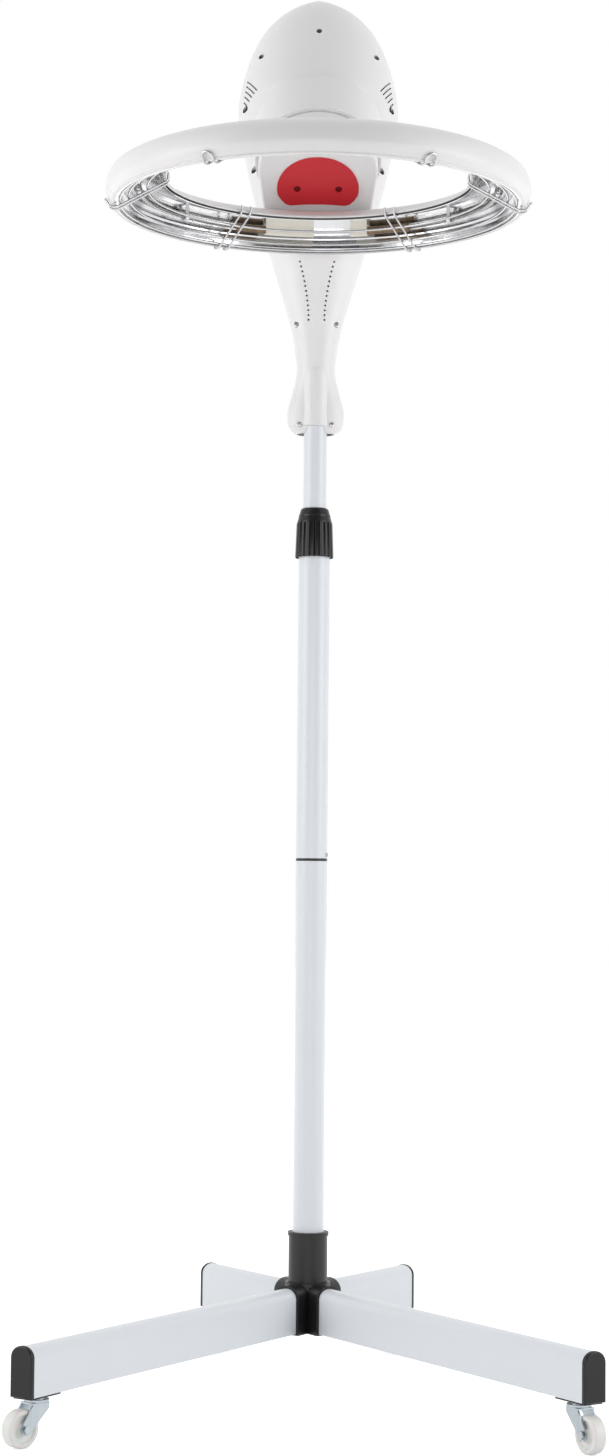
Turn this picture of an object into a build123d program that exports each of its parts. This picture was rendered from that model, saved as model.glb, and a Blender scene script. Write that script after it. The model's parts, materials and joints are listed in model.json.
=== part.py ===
from build123d import *
import os
from math import cos, pi, radians, sin, sqrt

os.makedirs("parts", exist_ok=True)

# Orbiting infrared ring processor on a rolling stand.
# Origin: on the floor, on the axis of the post. +Z up, the front faces -Y, +X is to the right seen from the front.
# All lengths are in millimetres and all angles in degrees.

# ------------------------------------------------------------------ clearances
sliding_fit = 0.08          # radial, shaft or tube running in its bore
free_gap = 0.4              # between covers and what moves past them
joint_gap = 0.3             # between flat faces that move past each other

# ------------------------------------------------------------------ post and mast
post_radius = 17.5
post_wall = 1.5
mast_radius = 13.0
mast_wall = 1.5
post_foot_z = 60.0          # lower end of the post inside the hub
coupler_z = 565.0           # underside of the ring between the two post tubes
coupler_ring = 3.0
coupler_spigot = 34.0
coupler_wall = 2.5
post_top_z = 931.0
mast_foot_z = 690.0
mast_top_z = 1290.0

# ------------------------------------------------------------------ hub and legs
leg_width = 25.0
leg_height = 48.4
leg_arch = 11.0             # height of the arched top of the section
leg_wall = 1.6
leg_underside_z = 48.6
leg_start = 24.0            # inner end of each leg, from the post axis
front_leg_reach = 506.0
rear_leg_reach = 198.0
front_leg_angle = 32.5      # from straight forward
rear_leg_angle = 34.5       # from straight back
hub_wall = 3.2
hub_floor = 1.6             # thin floor below the legs, as deep as the countersunk heads
hub_reach = 43.0
hub_core_radius = 25.0
collar_radius = 21.5
collar_top_z = 155.0
collar_rim = 1.2
collar_rim_height = 4.0
leg_screw_radius = 2.5
leg_screw_head_radius = 4.2
leg_screw_depth = 14.0
base_bolt_head_radius = 9.0
base_bolt_head_height = 5.0

# ------------------------------------------------------------------ end caps and casters
cap_skin = 0.5
cap_plate = 3.4
cap_overlap = 1.0
cap_edge = 1.6              # rounding of the cap's outer edge
cap_strip_length = 45.0
cap_strip_width = 22.0
cap_strip_thickness = 2.0
cap_plug_length = 36.0
caster_inset = 22.0         # from the leg end to the caster stem
stem_radius = 5.0
stem_height = 30.0          # into the leg
stem_nut_radius = 8.0
stem_nut_height = 2.2
raceway_radius = 12.0
raceway_thickness = 2.0
rivet_radius = 3.0
rivet_head_radius = 5.0
rivet_head_height = 1.4
wheel_radius = 18.5
wheel_width = 14.0
caster_trail = 20.0
fork_sheet = 1.7
fork_plate_radius = 11.5
axle_radius = 2.5
axle_nut_radius = 4.4
axle_nut_height = 2.6
fork_side_gap = 0.8         # between wheel tread side and fork cheek

# ------------------------------------------------------------------ clamp
lock_spigot = 30.0
lock_flange = 3.0
lock_nose_radius = 14.8
lock_nose_height = 13.0
collet_height = 4.5
knob_bottom_z = 905.3
knob_skirt_height = 39.5
knob_height = 55.7
knob_bottom_radius = 21.6
knob_skirt_radius = 20.2
knob_cone_radius = 17.8
knob_top_radius = 14.8
knob_flutes = 22
knob_flute_radius = 1.6
glide_bush_height = 30.0
glide_bush_floor = 2.7

# ------------------------------------------------------------------ head shells
# Each station of the shell: height, half width, front face y and rear face y.
parting_y = 4.0
shell_wall = 2.8
crown_z = 1412.0            # height of the widest section, above which the wall closes over
shell_stations = [
    (1046.0, 23.5, -8.0, 24.0),
    (1053.0, 30.0, -10.5, 28.5),
    (1066.0, 32.0, -12.0, 31.5),
    (1094.0, 26.0, -12.0, 29.0),
    (1115.0, 21.5, -14.8, 27.5),
    (1150.0, 25.2, -18.0, 32.0),
    (1216.0, 43.2, -28.0, 49.0),
    (1300.0, 68.3, -58.0, 69.0),
    (1350.0, 80.5, -90.0, 77.0),
    (1412.0, 90.6, -125.2, 80.7),
    (1455.0, 82.7, -106.1, 73.6),
    (1490.0, 68.7, -82.7, 61.1),
    (1515.0, 49.3, -56.0, 43.9),
    (1531.0, 27.0, -29.0, 24.0),
    (1538.5, 9.0, -10.0, 9.5),
]
shell_levels = [1046.0, 1048.5, 1052.0, 1059.0, 1070.0, 1084.0, 1100.0, 1116.0, 1134.0, 1154.0, 1178.0, 1206.0]
shell_levels += [1238.0, 1272.0, 1308.0, 1344.0, 1378.0, 1412.0, 1438.0, 1461.0, 1482.0, 1500.0, 1515.0, 1527.0]
shell_levels += [1535.0, 1538.5]
ridge_radius = 16.5         # half-round socket bulge round the mast
ridge_bottom_z = 1053.5
ridge_top_z = 1114.0
mast_clearance = 0.3
shell_screw_places = [
    (0.0, 1479.0),
    (64.0, 1458.0),
    (81.5, 1402.0),
    (71.5, 1339.0),
    (23.0, 1168.0),
    (18.5, 1055.0),
]
tower_radius = 5.0
foot_tower_radius = 4.0
screw_recess_radius = 3.2
screw_seat = 12.0           # depth of the screw seat ahead of the parting plane
screw_head_radius = 3.0
screw_head_height = 2.4
screw_shank_radius = 1.5
screw_grip = 12.0           # thread length behind the parting plane
vent_count = 5
vent_width = 1.5
vent_start = 8.0            # ahead of the parting plane
vent_long = 22.5
vent_short = 8.0
vent_tilt = 59.0
vent_first = (74.0, 1424.5)
vent_last = (81.5, 1407.5)
hole_count = 13
hole_radius = 1.2
hole_top_z = 1235.5
hole_bottom_z = 1171.8
hole_bottom_x = 8.9
hole_spread = 10.3

# ------------------------------------------------------------------ turret
# The turret turns about an axis that points forward and down from the head.
turret_y = -113.0
turret_z = 1325.0
turret_slope = 48.0
boss_gap = 2.0              # between the boss face and the arm
boss_radius = 67.5
boss_rim_height = 7.0
boss_rim = 1.4
boss_root_radius = 71.5
boss_length = 62.0
boss_bore_radius = 62.0
boss_step_radius = 56.0
boss_face = 4.0
carrier_seat = 18.0         # depth of the seat of the carrier disc behind the arm face plane
carrier_thickness = 4.0
carrier_hub_radius = 22.0
carrier_hub_end = 60.0
bearing_radius = 18.0
bearing_width = 8.0
turret_shaft_radius = 12.0
turret_shaft_bore = 8.0
turret_shaft_end = 63.0
turret_flange_radius = 28.0
turret_flange = 3.0
gear_module = 1.75
orbit_teeth = 36
pinion_teeth = 12
gear_face_width = 8.0
gear_front = 8.0            # depth of the gear's front face behind the arm plane
gear_slack = 0.1            # added to the centre distance
motor_radius = 16.0
motor_length = 42.0
motor_shaft_radius = 2.5
motor_shaft_engagement = 18.0
clamp_half_width = 19.0
clamp_half_depth = 18.0
clamp_bottom_z = 1250.0
clamp_top_z = 1300.0
web_thickness = 10.0

# ------------------------------------------------------------------ arm
arm_radius = 65.3
arm_length = 76.0           # from the turret axis to the lower edge
arm_lower_half_width = 56.0
arm_corner_radius = 24.0
arm_tray_depth = 15.0
arm_face_depth = 20.0
arm_wall = 3.0
arm_edge_radius = 3.5
window_half_width = 44.5
window_top = 21.0
window_bottom = 40.5
window_thickness = 2.6
window_rise = 1.2           # proud of the arm cover
window_widest = -17.0       # height of the widest part, from the turret axis
window_foot_half_width = 29.0
window_foot_hollow = 1.6
sensor_hole_radius = 3.8
sensor_offset = 22.6
sensor_drop = 19.3
sensor_depth = 9.0

# ------------------------------------------------------------------ ring
ring_y = -278.0
ring_lip_z = 1235.0
ring_wall = 2.5
outer_lip = 212.0
inner_lip = 157.0
inner_lip_rise = 28.0
ring_height = 41.0
ring_bulge = 6.8
reflector_sheet = 0.8
reflector_lip = 208.2
reflector_steps = 5
reflector_step_height = 4.8
reflector_step_in = 2.6
reflector_ceiling = 32.4
heater_radius = 186.0
heater_rise = 19.0
quartz_radius = 3.6
quartz_wall = 0.8
coil_radius = 1.3
end_cap_radius = 4.0
ceramic_inner_reach = 5.0   # from the tube's centre line towards the head space
ceramic_outer_reach = 3.2
ceramic_height = 12.0
ceramic_neck = 2.4
ceramic_spans = {1: (1.3, 18.0), -1: (11.4, 17.2)}      # angles from the rear centre, left and right side
quartz_starts = {1: 28.4, -1: 33.0}
quartz_end = 148.0
front_cap_end = 157.0
front_ceramic_end = 165.0
heater_clip_angles = [50.0, 90.0, 130.0]
heater_clip_width = 5.0
heater_clip_sheet = 0.9
heater_clip_stem = 3.0      # from the tube's centre line towards the head space
guard_wire_radius = 1.1
guard_pair_spacing = 11.0
guard_bend_radius = 5.4
guard_hook = 9.0
guard_ring_radii = [176.0, 195.0, 204.0]

# ------------------------------------------------------------------ rear panel
panel_z = 1405.0
bezel_width = 86.0
bezel_height = 62.0
bezel_corner = 12.0
bezel_wall = 4.0
bezel_back_y = 65.0
bezel_front_y = 83.0
facia_front_y = 80.0
facia_thickness = 2.5
display_width = 46.0
display_height = 17.0
display_rise = 12.0         # above the panel centre
key_drop = 13.0             # below the panel centre
key_pitch = 24.0
key_radius = 6.2
key_flange_radius = 7.6
key_flange = 1.8
key_height = 4.6
key_stem_radius = 1.8
key_travel = 0.8
board_y = 56.0
board_thickness = 1.6
board_width = 74.0
board_bottom_z = 1358.0
board_top_z = 1452.0
board_post_x = 31.0
board_post_inset = 8.0
board_post_radius = 3.5
board_screw_grip = 7.0
tact_size = 6.0
tact_height = 3.4

# ------------------------------------------------------------------ service pad, inlet and switch
pad_half_width = 24.0
pad_bottom_z = 1170.0
pad_top_z = 1252.0
pad_face_y = 57.0
pad_root_y = 22.0
inlet_z = 1192.0
inlet_width = 27.0
inlet_height = 20.0
inlet_flange_width = 31.0
inlet_flange_height = 24.0
inlet_flange = 2.0
inlet_depth = 22.0
inlet_mouth_width = 22.0
inlet_mouth_height = 15.0
inlet_mouth_depth = 16.0
inlet_pin_spacing = 7.0
switch_z = 1231.0
switch_width = 19.4
switch_height = 13.0
switch_flange_width = 23.0
switch_flange_height = 16.6
switch_flange = 1.6
switch_depth = 18.0
switch_mouth_width = 17.0
switch_mouth_height = 11.0
rocker_width = 16.2
rocker_half_height = 4.5
rocker_drop = 5.0           # pivot depth behind the pad face
rocker_tilt = 7.0
rocker_crest = 8.4
rocker_valley = 6.8
rocker_pivot_radius = 1.2

leg_names = ["front_left", "front_right", "rear_left", "rear_right"]
leg_sides = {"front_left": -1, "front_right": 1, "rear_left": -1, "rear_right": 1}
# Heading of each caster's wheel from its stem, anticlockwise from +X.
caster_headings = {"front_left": 225.0, "front_right": -62.0, "rear_left": 240.0, "rear_right": -70.0}


def leg_direction(name):
    """Unit vector from the post axis along a leg."""
    side = leg_sides[name]
    if name.startswith("front"):
        angle = radians(front_leg_angle)
        return Vector(side * sin(angle), -cos(angle), 0)
    angle = radians(rear_leg_angle)
    return Vector(side * sin(angle), cos(angle), 0)


def leg_reach(name):
    return front_leg_reach if name.startswith("front") else rear_leg_reach


def leg_plane(name, distance):
    """Section plane across a leg: x sideways, y up, its origin on the underside."""
    along = leg_direction(name)
    origin = along * distance + Vector(0, 0, leg_underside_z)
    return Plane(origin=origin, x_dir=(-along.Y, along.X, 0), z_dir=along)


def leg_section(grow, floor=None):
    """Flat-bottomed section with an arched top, grown all round, or by another amount below."""
    half = leg_width / 2 + grow
    bottom = -(grow if floor is None else floor)
    shoulder = leg_height - leg_arch
    with BuildSketch() as section:
        with BuildLine():
            Line((-half, shoulder), (-half, bottom))
            Line((-half, bottom), (half, bottom))
            Line((half, bottom), (half, shoulder))
            EllipticalCenterArc((0, shoulder), half, leg_arch + grow, arc_size=180)
        make_face()
    return section.sketch


def caster_point(name):
    along = leg_direction(name)
    return along * (leg_reach(name) - caster_inset)


leg_outer = leg_section(0)
leg_inner = leg_section(-leg_wall)
hub_section = leg_section(hub_wall, hub_floor)
cap_section = leg_section(cap_skin)

# ================================================================== stand
# Cast hub: a core with a collar for the post and four sleeves that hug the leg ends.
hub_bottom_z = leg_underside_z - hub_floor
hub_top_z = leg_underside_z + leg_height + hub_wall
leg_screw_distances = [(leg_start + hub_reach) / 2]
post_bolt_radius = 5.0
upright = (Align.CENTER, Align.CENTER, Align.MIN)
leg_screw_places = [
    leg_direction(leg_name) * distance + Vector(0, 0, hub_bottom_z)
    for leg_name in leg_names
    for distance in leg_screw_distances
]

with BuildPart() as base_hub:
    with BuildSketch(Plane.XY.offset(hub_bottom_z)):
        Circle(hub_core_radius)
    extrude(amount=hub_top_z - hub_bottom_z)
    with BuildSketch(Plane.XY.offset(hub_top_z)):
        Circle(collar_radius)
    extrude(amount=collar_top_z - hub_top_z)
    with BuildSketch(Plane.XY.offset(collar_top_z - collar_rim_height)):
        Circle(collar_radius + collar_rim)
    extrude(amount=collar_rim_height)
    for leg_name in leg_names:
        with BuildSketch(leg_plane(leg_name, 0)):
            add(hub_section)
        extrude(amount=hub_reach)
    for leg_name in leg_names:
        with BuildSketch(leg_plane(leg_name, leg_start)):
            add(leg_outer)
        extrude(amount=hub_reach, mode=Mode.SUBTRACT)
    with BuildSketch(Plane.XY.offset(post_foot_z)):
        Circle(post_radius)
    extrude(amount=collar_top_z, mode=Mode.SUBTRACT)
    with BuildSketch(Plane.XY):
        Circle(post_bolt_radius)
    extrude(amount=post_foot_z, mode=Mode.SUBTRACT)
    with BuildSketch(Plane.XY):
        Circle(base_bolt_head_radius + free_gap)
    extrude(amount=hub_bottom_z + base_bolt_head_height, mode=Mode.SUBTRACT)
    with Locations(*leg_screw_places):
        Cone(leg_screw_head_radius, leg_screw_radius, hub_floor, align=upright, mode=Mode.SUBTRACT)
base_hub.part.label = "base_hub"
export_step(base_hub.part, "parts/base_hub.step")

# Legs: drawn tube with an arched top, closed by the end caps.
for leg_name in leg_names:
    node_name = leg_name + "_leg"
    length = leg_reach(leg_name) - leg_start
    with BuildPart() as leg:
        with BuildSketch(leg_plane(leg_name, leg_start)):
            add(leg_outer)
            add(leg_inner, mode=Mode.SUBTRACT)
        extrude(amount=length)
        with BuildSketch(Plane.XY.offset(leg_underside_z - leg_wall)):
            for distance in leg_screw_distances:
                place = leg_direction(leg_name) * distance
                with Locations((place.X, place.Y)):
                    Circle(leg_screw_radius)
            stem_place = caster_point(leg_name)
            with Locations((stem_place.X, stem_place.Y)):
                Circle(stem_radius)
        extrude(amount=3 * leg_wall, mode=Mode.SUBTRACT)
    leg.part.label = node_name
    export_step(leg.part, f"parts/{node_name}.step")

# Countersunk screws that hold the legs in the hub sleeves, from below.
with BuildPart() as leg_screws:
    with Locations(*leg_screw_places):
        Cone(leg_screw_head_radius, leg_screw_radius, hub_floor, align=upright)
        Cylinder(leg_screw_radius, leg_screw_depth, align=upright)
leg_screws.part.label = "leg_screws"
export_step(leg_screws.part, "parts/leg_screws.step")

# End caps: a skin over the leg end, a plug inside it that holds the caster stem, and a strip below.
with BuildPart() as leg_end_caps:
    for leg_name in leg_names:
        reach = leg_reach(leg_name)
        leg_end = leg_direction(leg_name) * reach
        with BuildSketch(leg_plane(leg_name, reach - cap_overlap)):
            add(cap_section)
        cap_body = extrude(amount=cap_overlap + cap_plate)
        fillet(cap_body.faces().sort_by(Axis(leg_end, leg_direction(leg_name)))[-1].edges(), cap_edge)
        with BuildSketch(leg_plane(leg_name, reach - cap_strip_length)):
            with Locations((0, -cap_strip_thickness / 2)):
                Rectangle(cap_strip_width, cap_strip_thickness)
        extrude(amount=cap_strip_length)
        with BuildSketch(leg_plane(leg_name, reach - cap_overlap)):
            add(leg_outer)
        extrude(amount=cap_overlap, mode=Mode.SUBTRACT)
        with BuildSketch(leg_plane(leg_name, reach - cap_plug_length)):
            add(leg_inner)
        extrude(amount=cap_plug_length)
        stem_place = caster_point(leg_name)
        with BuildSketch(Plane.XY.offset(leg_underside_z - cap_strip_thickness)):
            with Locations((stem_place.X, stem_place.Y)):
                Circle(stem_radius)
        extrude(amount=cap_strip_thickness + stem_height, mode=Mode.SUBTRACT)
leg_end_caps.part.label = "leg_end_caps"
export_step(leg_end_caps.part, "parts/leg_end_caps.step")

# ------------------------------------------------------------------ casters
nut_top_z = leg_underside_z - cap_strip_thickness
raceway_top_z = nut_top_z - stem_nut_height
raceway_bottom_z = raceway_top_z - raceway_thickness
fork_top_z = raceway_bottom_z - joint_gap
fork_underside_z = fork_top_z - fork_sheet
cheek_inner = wheel_width / 2 + fork_side_gap
cheek_outer = cheek_inner + fork_sheet

with BuildPart() as caster_stems:
    for leg_name in leg_names:
        place = caster_point(leg_name)
        with Locations((place.X, place.Y, raceway_bottom_z)):
            Cylinder(raceway_radius, raceway_thickness, align=(Align.CENTER, Align.CENTER, Align.MIN))
        with Locations((place.X, place.Y, raceway_top_z)):
            Cylinder(stem_nut_radius, stem_nut_height, align=(Align.CENTER, Align.CENTER, Align.MIN))
        with Locations((place.X, place.Y, nut_top_z)):
            Cylinder(stem_radius, cap_strip_thickness + stem_height, align=(Align.CENTER, Align.CENTER, Align.MIN))
        with Locations((place.X, place.Y, raceway_bottom_z)):
            Cylinder(rivet_radius, 2 * joint_gap + fork_sheet, align=(Align.CENTER, Align.CENTER, Align.MAX))
        with Locations((place.X, place.Y, fork_underside_z - joint_gap)):
            Cylinder(rivet_head_radius, rivet_head_height, align=(Align.CENTER, Align.CENTER, Align.MAX))
caster_stems.part.label = "caster_stems"
export_step(caster_stems.part, "parts/caster_stems.step")

for leg_name in leg_names:
    place = caster_point(leg_name)
    heading = radians(caster_headings[leg_name])
    trail = Vector(cos(heading), sin(heading), 0)
    across = Vector(-sin(heading), cos(heading), 0)
    wheel_centre = place + trail * caster_trail + Vector(0, 0, wheel_radius)
    swivel_side = Plane(origin=place, x_dir=trail, z_dir=across * -1)
    wheel_side = Plane(origin=wheel_centre, x_dir=trail, z_dir=swivel_side.z_dir)

    # Stamped swivel fork: a round plate, two cheeks and the riveted axle between them.
    with BuildPart() as fork:
        with BuildSketch(Plane(origin=place + Vector(0, 0, fork_underside_z), x_dir=trail, z_dir=(0, 0, 1))):
            Circle(fork_plate_radius)
            with Locations((2.0, 0)):
                Rectangle(20.0, 2 * cheek_outer)
            Circle(rivet_radius + sliding_fit, mode=Mode.SUBTRACT)
        extrude(amount=fork_sheet)
        for side in (-1, 1):
            middle = side * (cheek_inner + fork_sheet / 2)
            with BuildSketch(swivel_side.offset(middle)):
                with Locations((2.0, fork_underside_z - 2.0)):
                    Rectangle(20.0, 4.0)
                with Locations((caster_trail, wheel_radius)):
                    Circle(axle_radius + 3.6)
                make_hull()
            extrude(amount=fork_sheet / 2, both=True)
        with BuildSketch(wheel_side):
            Circle(axle_radius)
        extrude(amount=cheek_outer, both=True)
        for side in (-1, 1):
            with BuildSketch(wheel_side.offset(side * (cheek_outer + axle_nut_height / 2))):
                RegularPolygon(axle_nut_radius, 6)
            extrude(amount=axle_nut_height / 2, both=True)
    fork.part.label = f"caster_fork_{leg_name}"
    export_step(fork.part, f"parts/caster_fork_{leg_name}.step")

    # Moulded wheel: rounded tread, dished sides and a hub that runs on the axle.
    half = wheel_width / 2
    with BuildPart() as wheel:
        with BuildSketch(wheel_side):
            Circle(wheel_radius)
        extrude(amount=half, both=True)
        fillet(wheel.edges().filter_by(GeomType.CIRCLE), radius=2.6)
        for side in (-1, 1):
            with BuildSketch(wheel_side.offset(side * half)):
                Circle(wheel_radius - 4.5)
                Circle(axle_radius + 3.5, mode=Mode.SUBTRACT)
            extrude(amount=-side * 2.5, mode=Mode.SUBTRACT)
        with BuildSketch(wheel_side):
            Circle(axle_radius + 3.5)
        extrude(amount=cheek_inner - joint_gap, both=True)
        with BuildSketch(wheel_side):
            Circle(axle_radius + sliding_fit)
        extrude(amount=wheel_width, both=True, mode=Mode.SUBTRACT)
    wheel.part.label = f"caster_wheel_{leg_name}"
    export_step(wheel.part, f"parts/caster_wheel_{leg_name}.step")

# ------------------------------------------------------------------ post
post_bore = post_radius - post_wall
post_middle_z = coupler_z + coupler_ring
coupler_screw_z = post_middle_z + 4.0
screw_turn = radians(70.0)  # from straight ahead towards the right
coupler_screw_out = Vector(sin(screw_turn), -cos(screw_turn), 0)
coupler_screw_radius = 1.6
coupler_screw_head_radius = 2.5
coupler_screw_head = 1.3
coupler_screw_plane = Plane(origin=(0, 0, coupler_screw_z), x_dir=(0, 0, 1), z_dir=coupler_screw_out)

with BuildPart() as lower_post:
    with BuildSketch(Plane.XY.offset(post_foot_z)):
        Circle(post_radius)
        Circle(post_bore, mode=Mode.SUBTRACT)
    extrude(amount=coupler_z - post_foot_z)
lower_post.part.label = "lower_post"
export_step(lower_post.part, "parts/lower_post.step")

with BuildPart() as middle_post:
    with BuildSketch(Plane.XY.offset(post_middle_z)):
        Circle(post_radius)
        Circle(post_bore, mode=Mode.SUBTRACT)
    extrude(amount=post_top_z - post_middle_z)
    with BuildSketch(coupler_screw_plane):
        Circle(coupler_screw_radius)
    extrude(amount=post_radius + post_wall, mode=Mode.SUBTRACT)
middle_post.part.label = "middle_post"
export_step(middle_post.part, "parts/middle_post.step")

# Coupler: a ring that shows between the tubes and a hollow spigot inside both.
with BuildPart() as post_coupler:
    with BuildSketch(Plane.XY.offset(coupler_z)):
        Circle(post_radius)
    extrude(amount=coupler_ring)
    with BuildSketch(Plane.XY.offset(coupler_z - coupler_spigot)):
        Circle(post_bore)
    extrude(amount=2 * coupler_spigot + coupler_ring)
    with BuildSketch(Plane.XY.offset(coupler_z - coupler_spigot)):
        Circle(post_bore - coupler_wall)
    extrude(amount=2 * coupler_spigot + coupler_ring, mode=Mode.SUBTRACT)
    with BuildSketch(coupler_screw_plane):
        Circle(coupler_screw_radius)
    extrude(amount=post_radius, mode=Mode.SUBTRACT)
post_coupler.part.label = "post_coupler"
export_step(post_coupler.part, "parts/post_coupler.step")

with BuildPart() as coupler_screw:
    with BuildSketch(coupler_screw_plane.offset(post_bore - coupler_wall)):
        Circle(coupler_screw_radius)
    extrude(amount=coupler_wall + post_wall)
    with BuildSketch(coupler_screw_plane.offset(post_radius - 0.3)):
        Circle(coupler_screw_head_radius)
        Circle(coupler_screw_radius - 0.4, mode=Mode.SUBTRACT)
    extrude(amount=coupler_screw_head)
    with BuildSketch(coupler_screw_plane.offset(post_radius - 0.3)):
        Circle(coupler_screw_radius)
    extrude(amount=coupler_screw_head - 0.4)
    with BuildSketch(Plane.XY.offset(coupler_screw_z - 2 * coupler_screw_head_radius)):
        Circle(post_radius)
        Circle(post_bore, mode=Mode.SUBTRACT)
    shell_cut = extrude(amount=4 * coupler_screw_head_radius, mode=Mode.PRIVATE)
    with BuildSketch(coupler_screw_plane):
        Circle(2 * coupler_screw_head_radius)
        Circle(coupler_screw_radius, mode=Mode.SUBTRACT)
    ring_cut = extrude(amount=2 * post_radius, mode=Mode.PRIVATE)
    add(shell_cut & ring_cut, mode=Mode.SUBTRACT)
coupler_screw.part.label = "coupler_screw"
export_step(coupler_screw.part, "parts/coupler_screw.step")

# Bolt that draws the post down into the hub, with its plug inside the tube.
post_plug_height = 12.0
with BuildPart() as post_base_bolt:
    with BuildSketch(Plane.XY.offset(post_foot_z)):
        Circle(post_bore)
    extrude(amount=post_plug_height)
    with BuildSketch(Plane.XY.offset(hub_bottom_z)):
        Circle(post_bolt_radius)
    extrude(amount=post_foot_z - hub_bottom_z)
    with BuildSketch(Plane.XY.offset(hub_bottom_z)):
        RegularPolygon(base_bolt_head_radius, 6)
    extrude(amount=base_bolt_head_height)
post_base_bolt.part.label = "post_base_bolt"
export_step(post_base_bolt.part, "parts/post_base_bolt.step")

# ------------------------------------------------------------------ clamp on top of the post
lock_nose_z = post_top_z + lock_flange
lock_top_z = lock_nose_z + lock_nose_height
mast_bore = mast_radius + sliding_fit
with BuildPart() as lock_collar:
    with BuildSketch(Plane.XY.offset(post_top_z - lock_spigot)):
        Circle(post_bore)
    extrude(amount=lock_spigot)
    with BuildSketch(Plane.XY.offset(post_top_z)):
        Circle(post_radius)
    extrude(amount=lock_flange)
    with BuildSketch(Plane.XY.offset(lock_nose_z)):
        Circle(lock_nose_radius)
    extrude(amount=lock_nose_height)
    with BuildSketch(Plane.XY.offset(post_top_z - lock_spigot)):
        Circle(mast_bore)
    extrude(amount=lock_spigot + lock_flange + lock_nose_height, mode=Mode.SUBTRACT)
lock_collar.part.label = "lock_collar"
export_step(lock_collar.part, "parts/lock_collar.step")

collet_slit = 2.0
with BuildPart() as clamp_collet:
    with BuildSketch(Plane.XY.offset(lock_top_z)):
        Circle(lock_nose_radius - free_gap)
        Circle(mast_bore, mode=Mode.SUBTRACT)
        with Locations((0, lock_nose_radius)):
            Rectangle(collet_slit, 2 * (lock_nose_radius - mast_radius) + 2, mode=Mode.SUBTRACT)
    extrude(amount=collet_height)
    chamfer(clamp_collet.edges().group_by(Axis.Z)[-1].filter_by(GeomType.CIRCLE).sort_by(SortBy.LENGTH)[-1], 0.6)
clamp_collet.part.label = "clamp_collet"
export_step(clamp_collet.part, "parts/clamp_collet.step")

# Fluted knob that screws down over the collet.
knob_top_z = knob_bottom_z + knob_height
knob_shoulder_z = knob_bottom_z + knob_skirt_height
with BuildPart() as clamp_knob:
    with BuildSketch(Plane.XZ):
        with BuildLine():
            Polyline(
                (0, knob_bottom_z),
                (knob_bottom_radius, knob_bottom_z),
                (knob_skirt_radius, knob_shoulder_z),
                (knob_cone_radius, knob_shoulder_z + 0.8),
                (knob_top_radius, knob_top_z),
                (0, knob_top_z),
                close=True,
            )
        make_face()
    revolve(axis=Axis.Z)
    with BuildSketch(Plane.XY.offset(knob_bottom_z)):
        with PolarLocations(knob_bottom_radius, knob_flutes):
            Circle(knob_flute_radius)
    extrude(amount=knob_skirt_height, mode=Mode.SUBTRACT)
    with BuildSketch(Plane.XY.offset(knob_bottom_z)):
        Circle(post_radius + free_gap)
    extrude(amount=lock_nose_z + joint_gap - knob_bottom_z, mode=Mode.SUBTRACT)
    with BuildSketch(Plane.XY.offset(knob_bottom_z)):
        Circle(lock_nose_radius + sliding_fit)
    extrude(amount=lock_top_z + collet_height + joint_gap - knob_bottom_z, mode=Mode.SUBTRACT)
    with BuildSketch(Plane.XY.offset(knob_bottom_z)):
        Circle(mast_radius + free_gap)
    extrude(amount=knob_height, mode=Mode.SUBTRACT)
clamp_knob.part.label = "clamp_knob"
export_step(clamp_knob.part, "parts/clamp_knob.step")

# Glide bush at the foot of the mast: it slides in the post and the mast turns in it.
glide_bush_z = mast_foot_z - joint_gap - glide_bush_floor
with BuildPart() as glide_bush:
    with BuildSketch(Plane.XY.offset(glide_bush_z)):
        Circle(post_bore - sliding_fit)
        Circle(mast_radius - mast_wall - 2.0, mode=Mode.SUBTRACT)
    extrude(amount=glide_bush_floor)
    with BuildSketch(Plane.XY.offset(glide_bush_z + glide_bush_floor)):
        Circle(post_bore - sliding_fit)
        Circle(mast_bore, mode=Mode.SUBTRACT)
    extrude(amount=glide_bush_height - glide_bush_floor)
glide_bush.part.label = "glide_bush"
export_step(glide_bush.part, "parts/glide_bush.step")

with BuildPart() as mast_tube:
    with BuildSketch(Plane.XY.offset(mast_foot_z)):
        Circle(mast_radius)
        Circle(mast_radius - mast_wall, mode=Mode.SUBTRACT)
    extrude(amount=mast_top_z - mast_foot_z)
mast_tube.part.label = "mast_tube"
export_step(mast_tube.part, "parts/mast_tube.step")

# ================================================================== head
slope = radians(turret_slope)
turret = Plane(origin=(0, turret_y, turret_z), x_dir=(1, 0, 0), z_dir=(0, -cos(slope), -sin(slope)))
turret_axis = Axis(turret.origin, turret.z_dir)


station_heights = [station[0] for station in shell_stations]
crown_top_z = station_heights[-1]


def station_slopes(values):
    """Slope at each station, level where the profile turns, so that it never overshoots."""
    gaps = [above - below for below, above in zip(station_heights, station_heights[1:])]
    steps = [(above - below) / gap for below, above, gap in zip(values, values[1:], gaps)]
    inner = [0.0 if a * b <= 0 else 2 * a * b / (a + b) for a, b in zip(steps, steps[1:])]
    return [steps[0], *inner, steps[-1]]


station_values = [[station[column] for station in shell_stations] for column in (1, 2, 3)]
station_curves = [(values, station_slopes(values)) for values in station_values]


def shell_size(height):
    """Half width, front y and rear y of the head at a height."""
    index = max(i for i in range(len(station_heights) - 1) if station_heights[i] <= height)
    gap = station_heights[index + 1] - station_heights[index]
    t = (height - station_heights[index]) / gap
    sizes = []
    for values, slopes in station_curves:
        size = (2 * t**3 - 3 * t**2 + 1) * values[index] + (3 * t**2 - 2 * t**3) * values[index + 1]
        size += (t**3 - 2 * t**2 + t) * gap * slopes[index] + (t**3 - t**2) * gap * slopes[index + 1]
        sizes.append(size)
    return sizes


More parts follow.
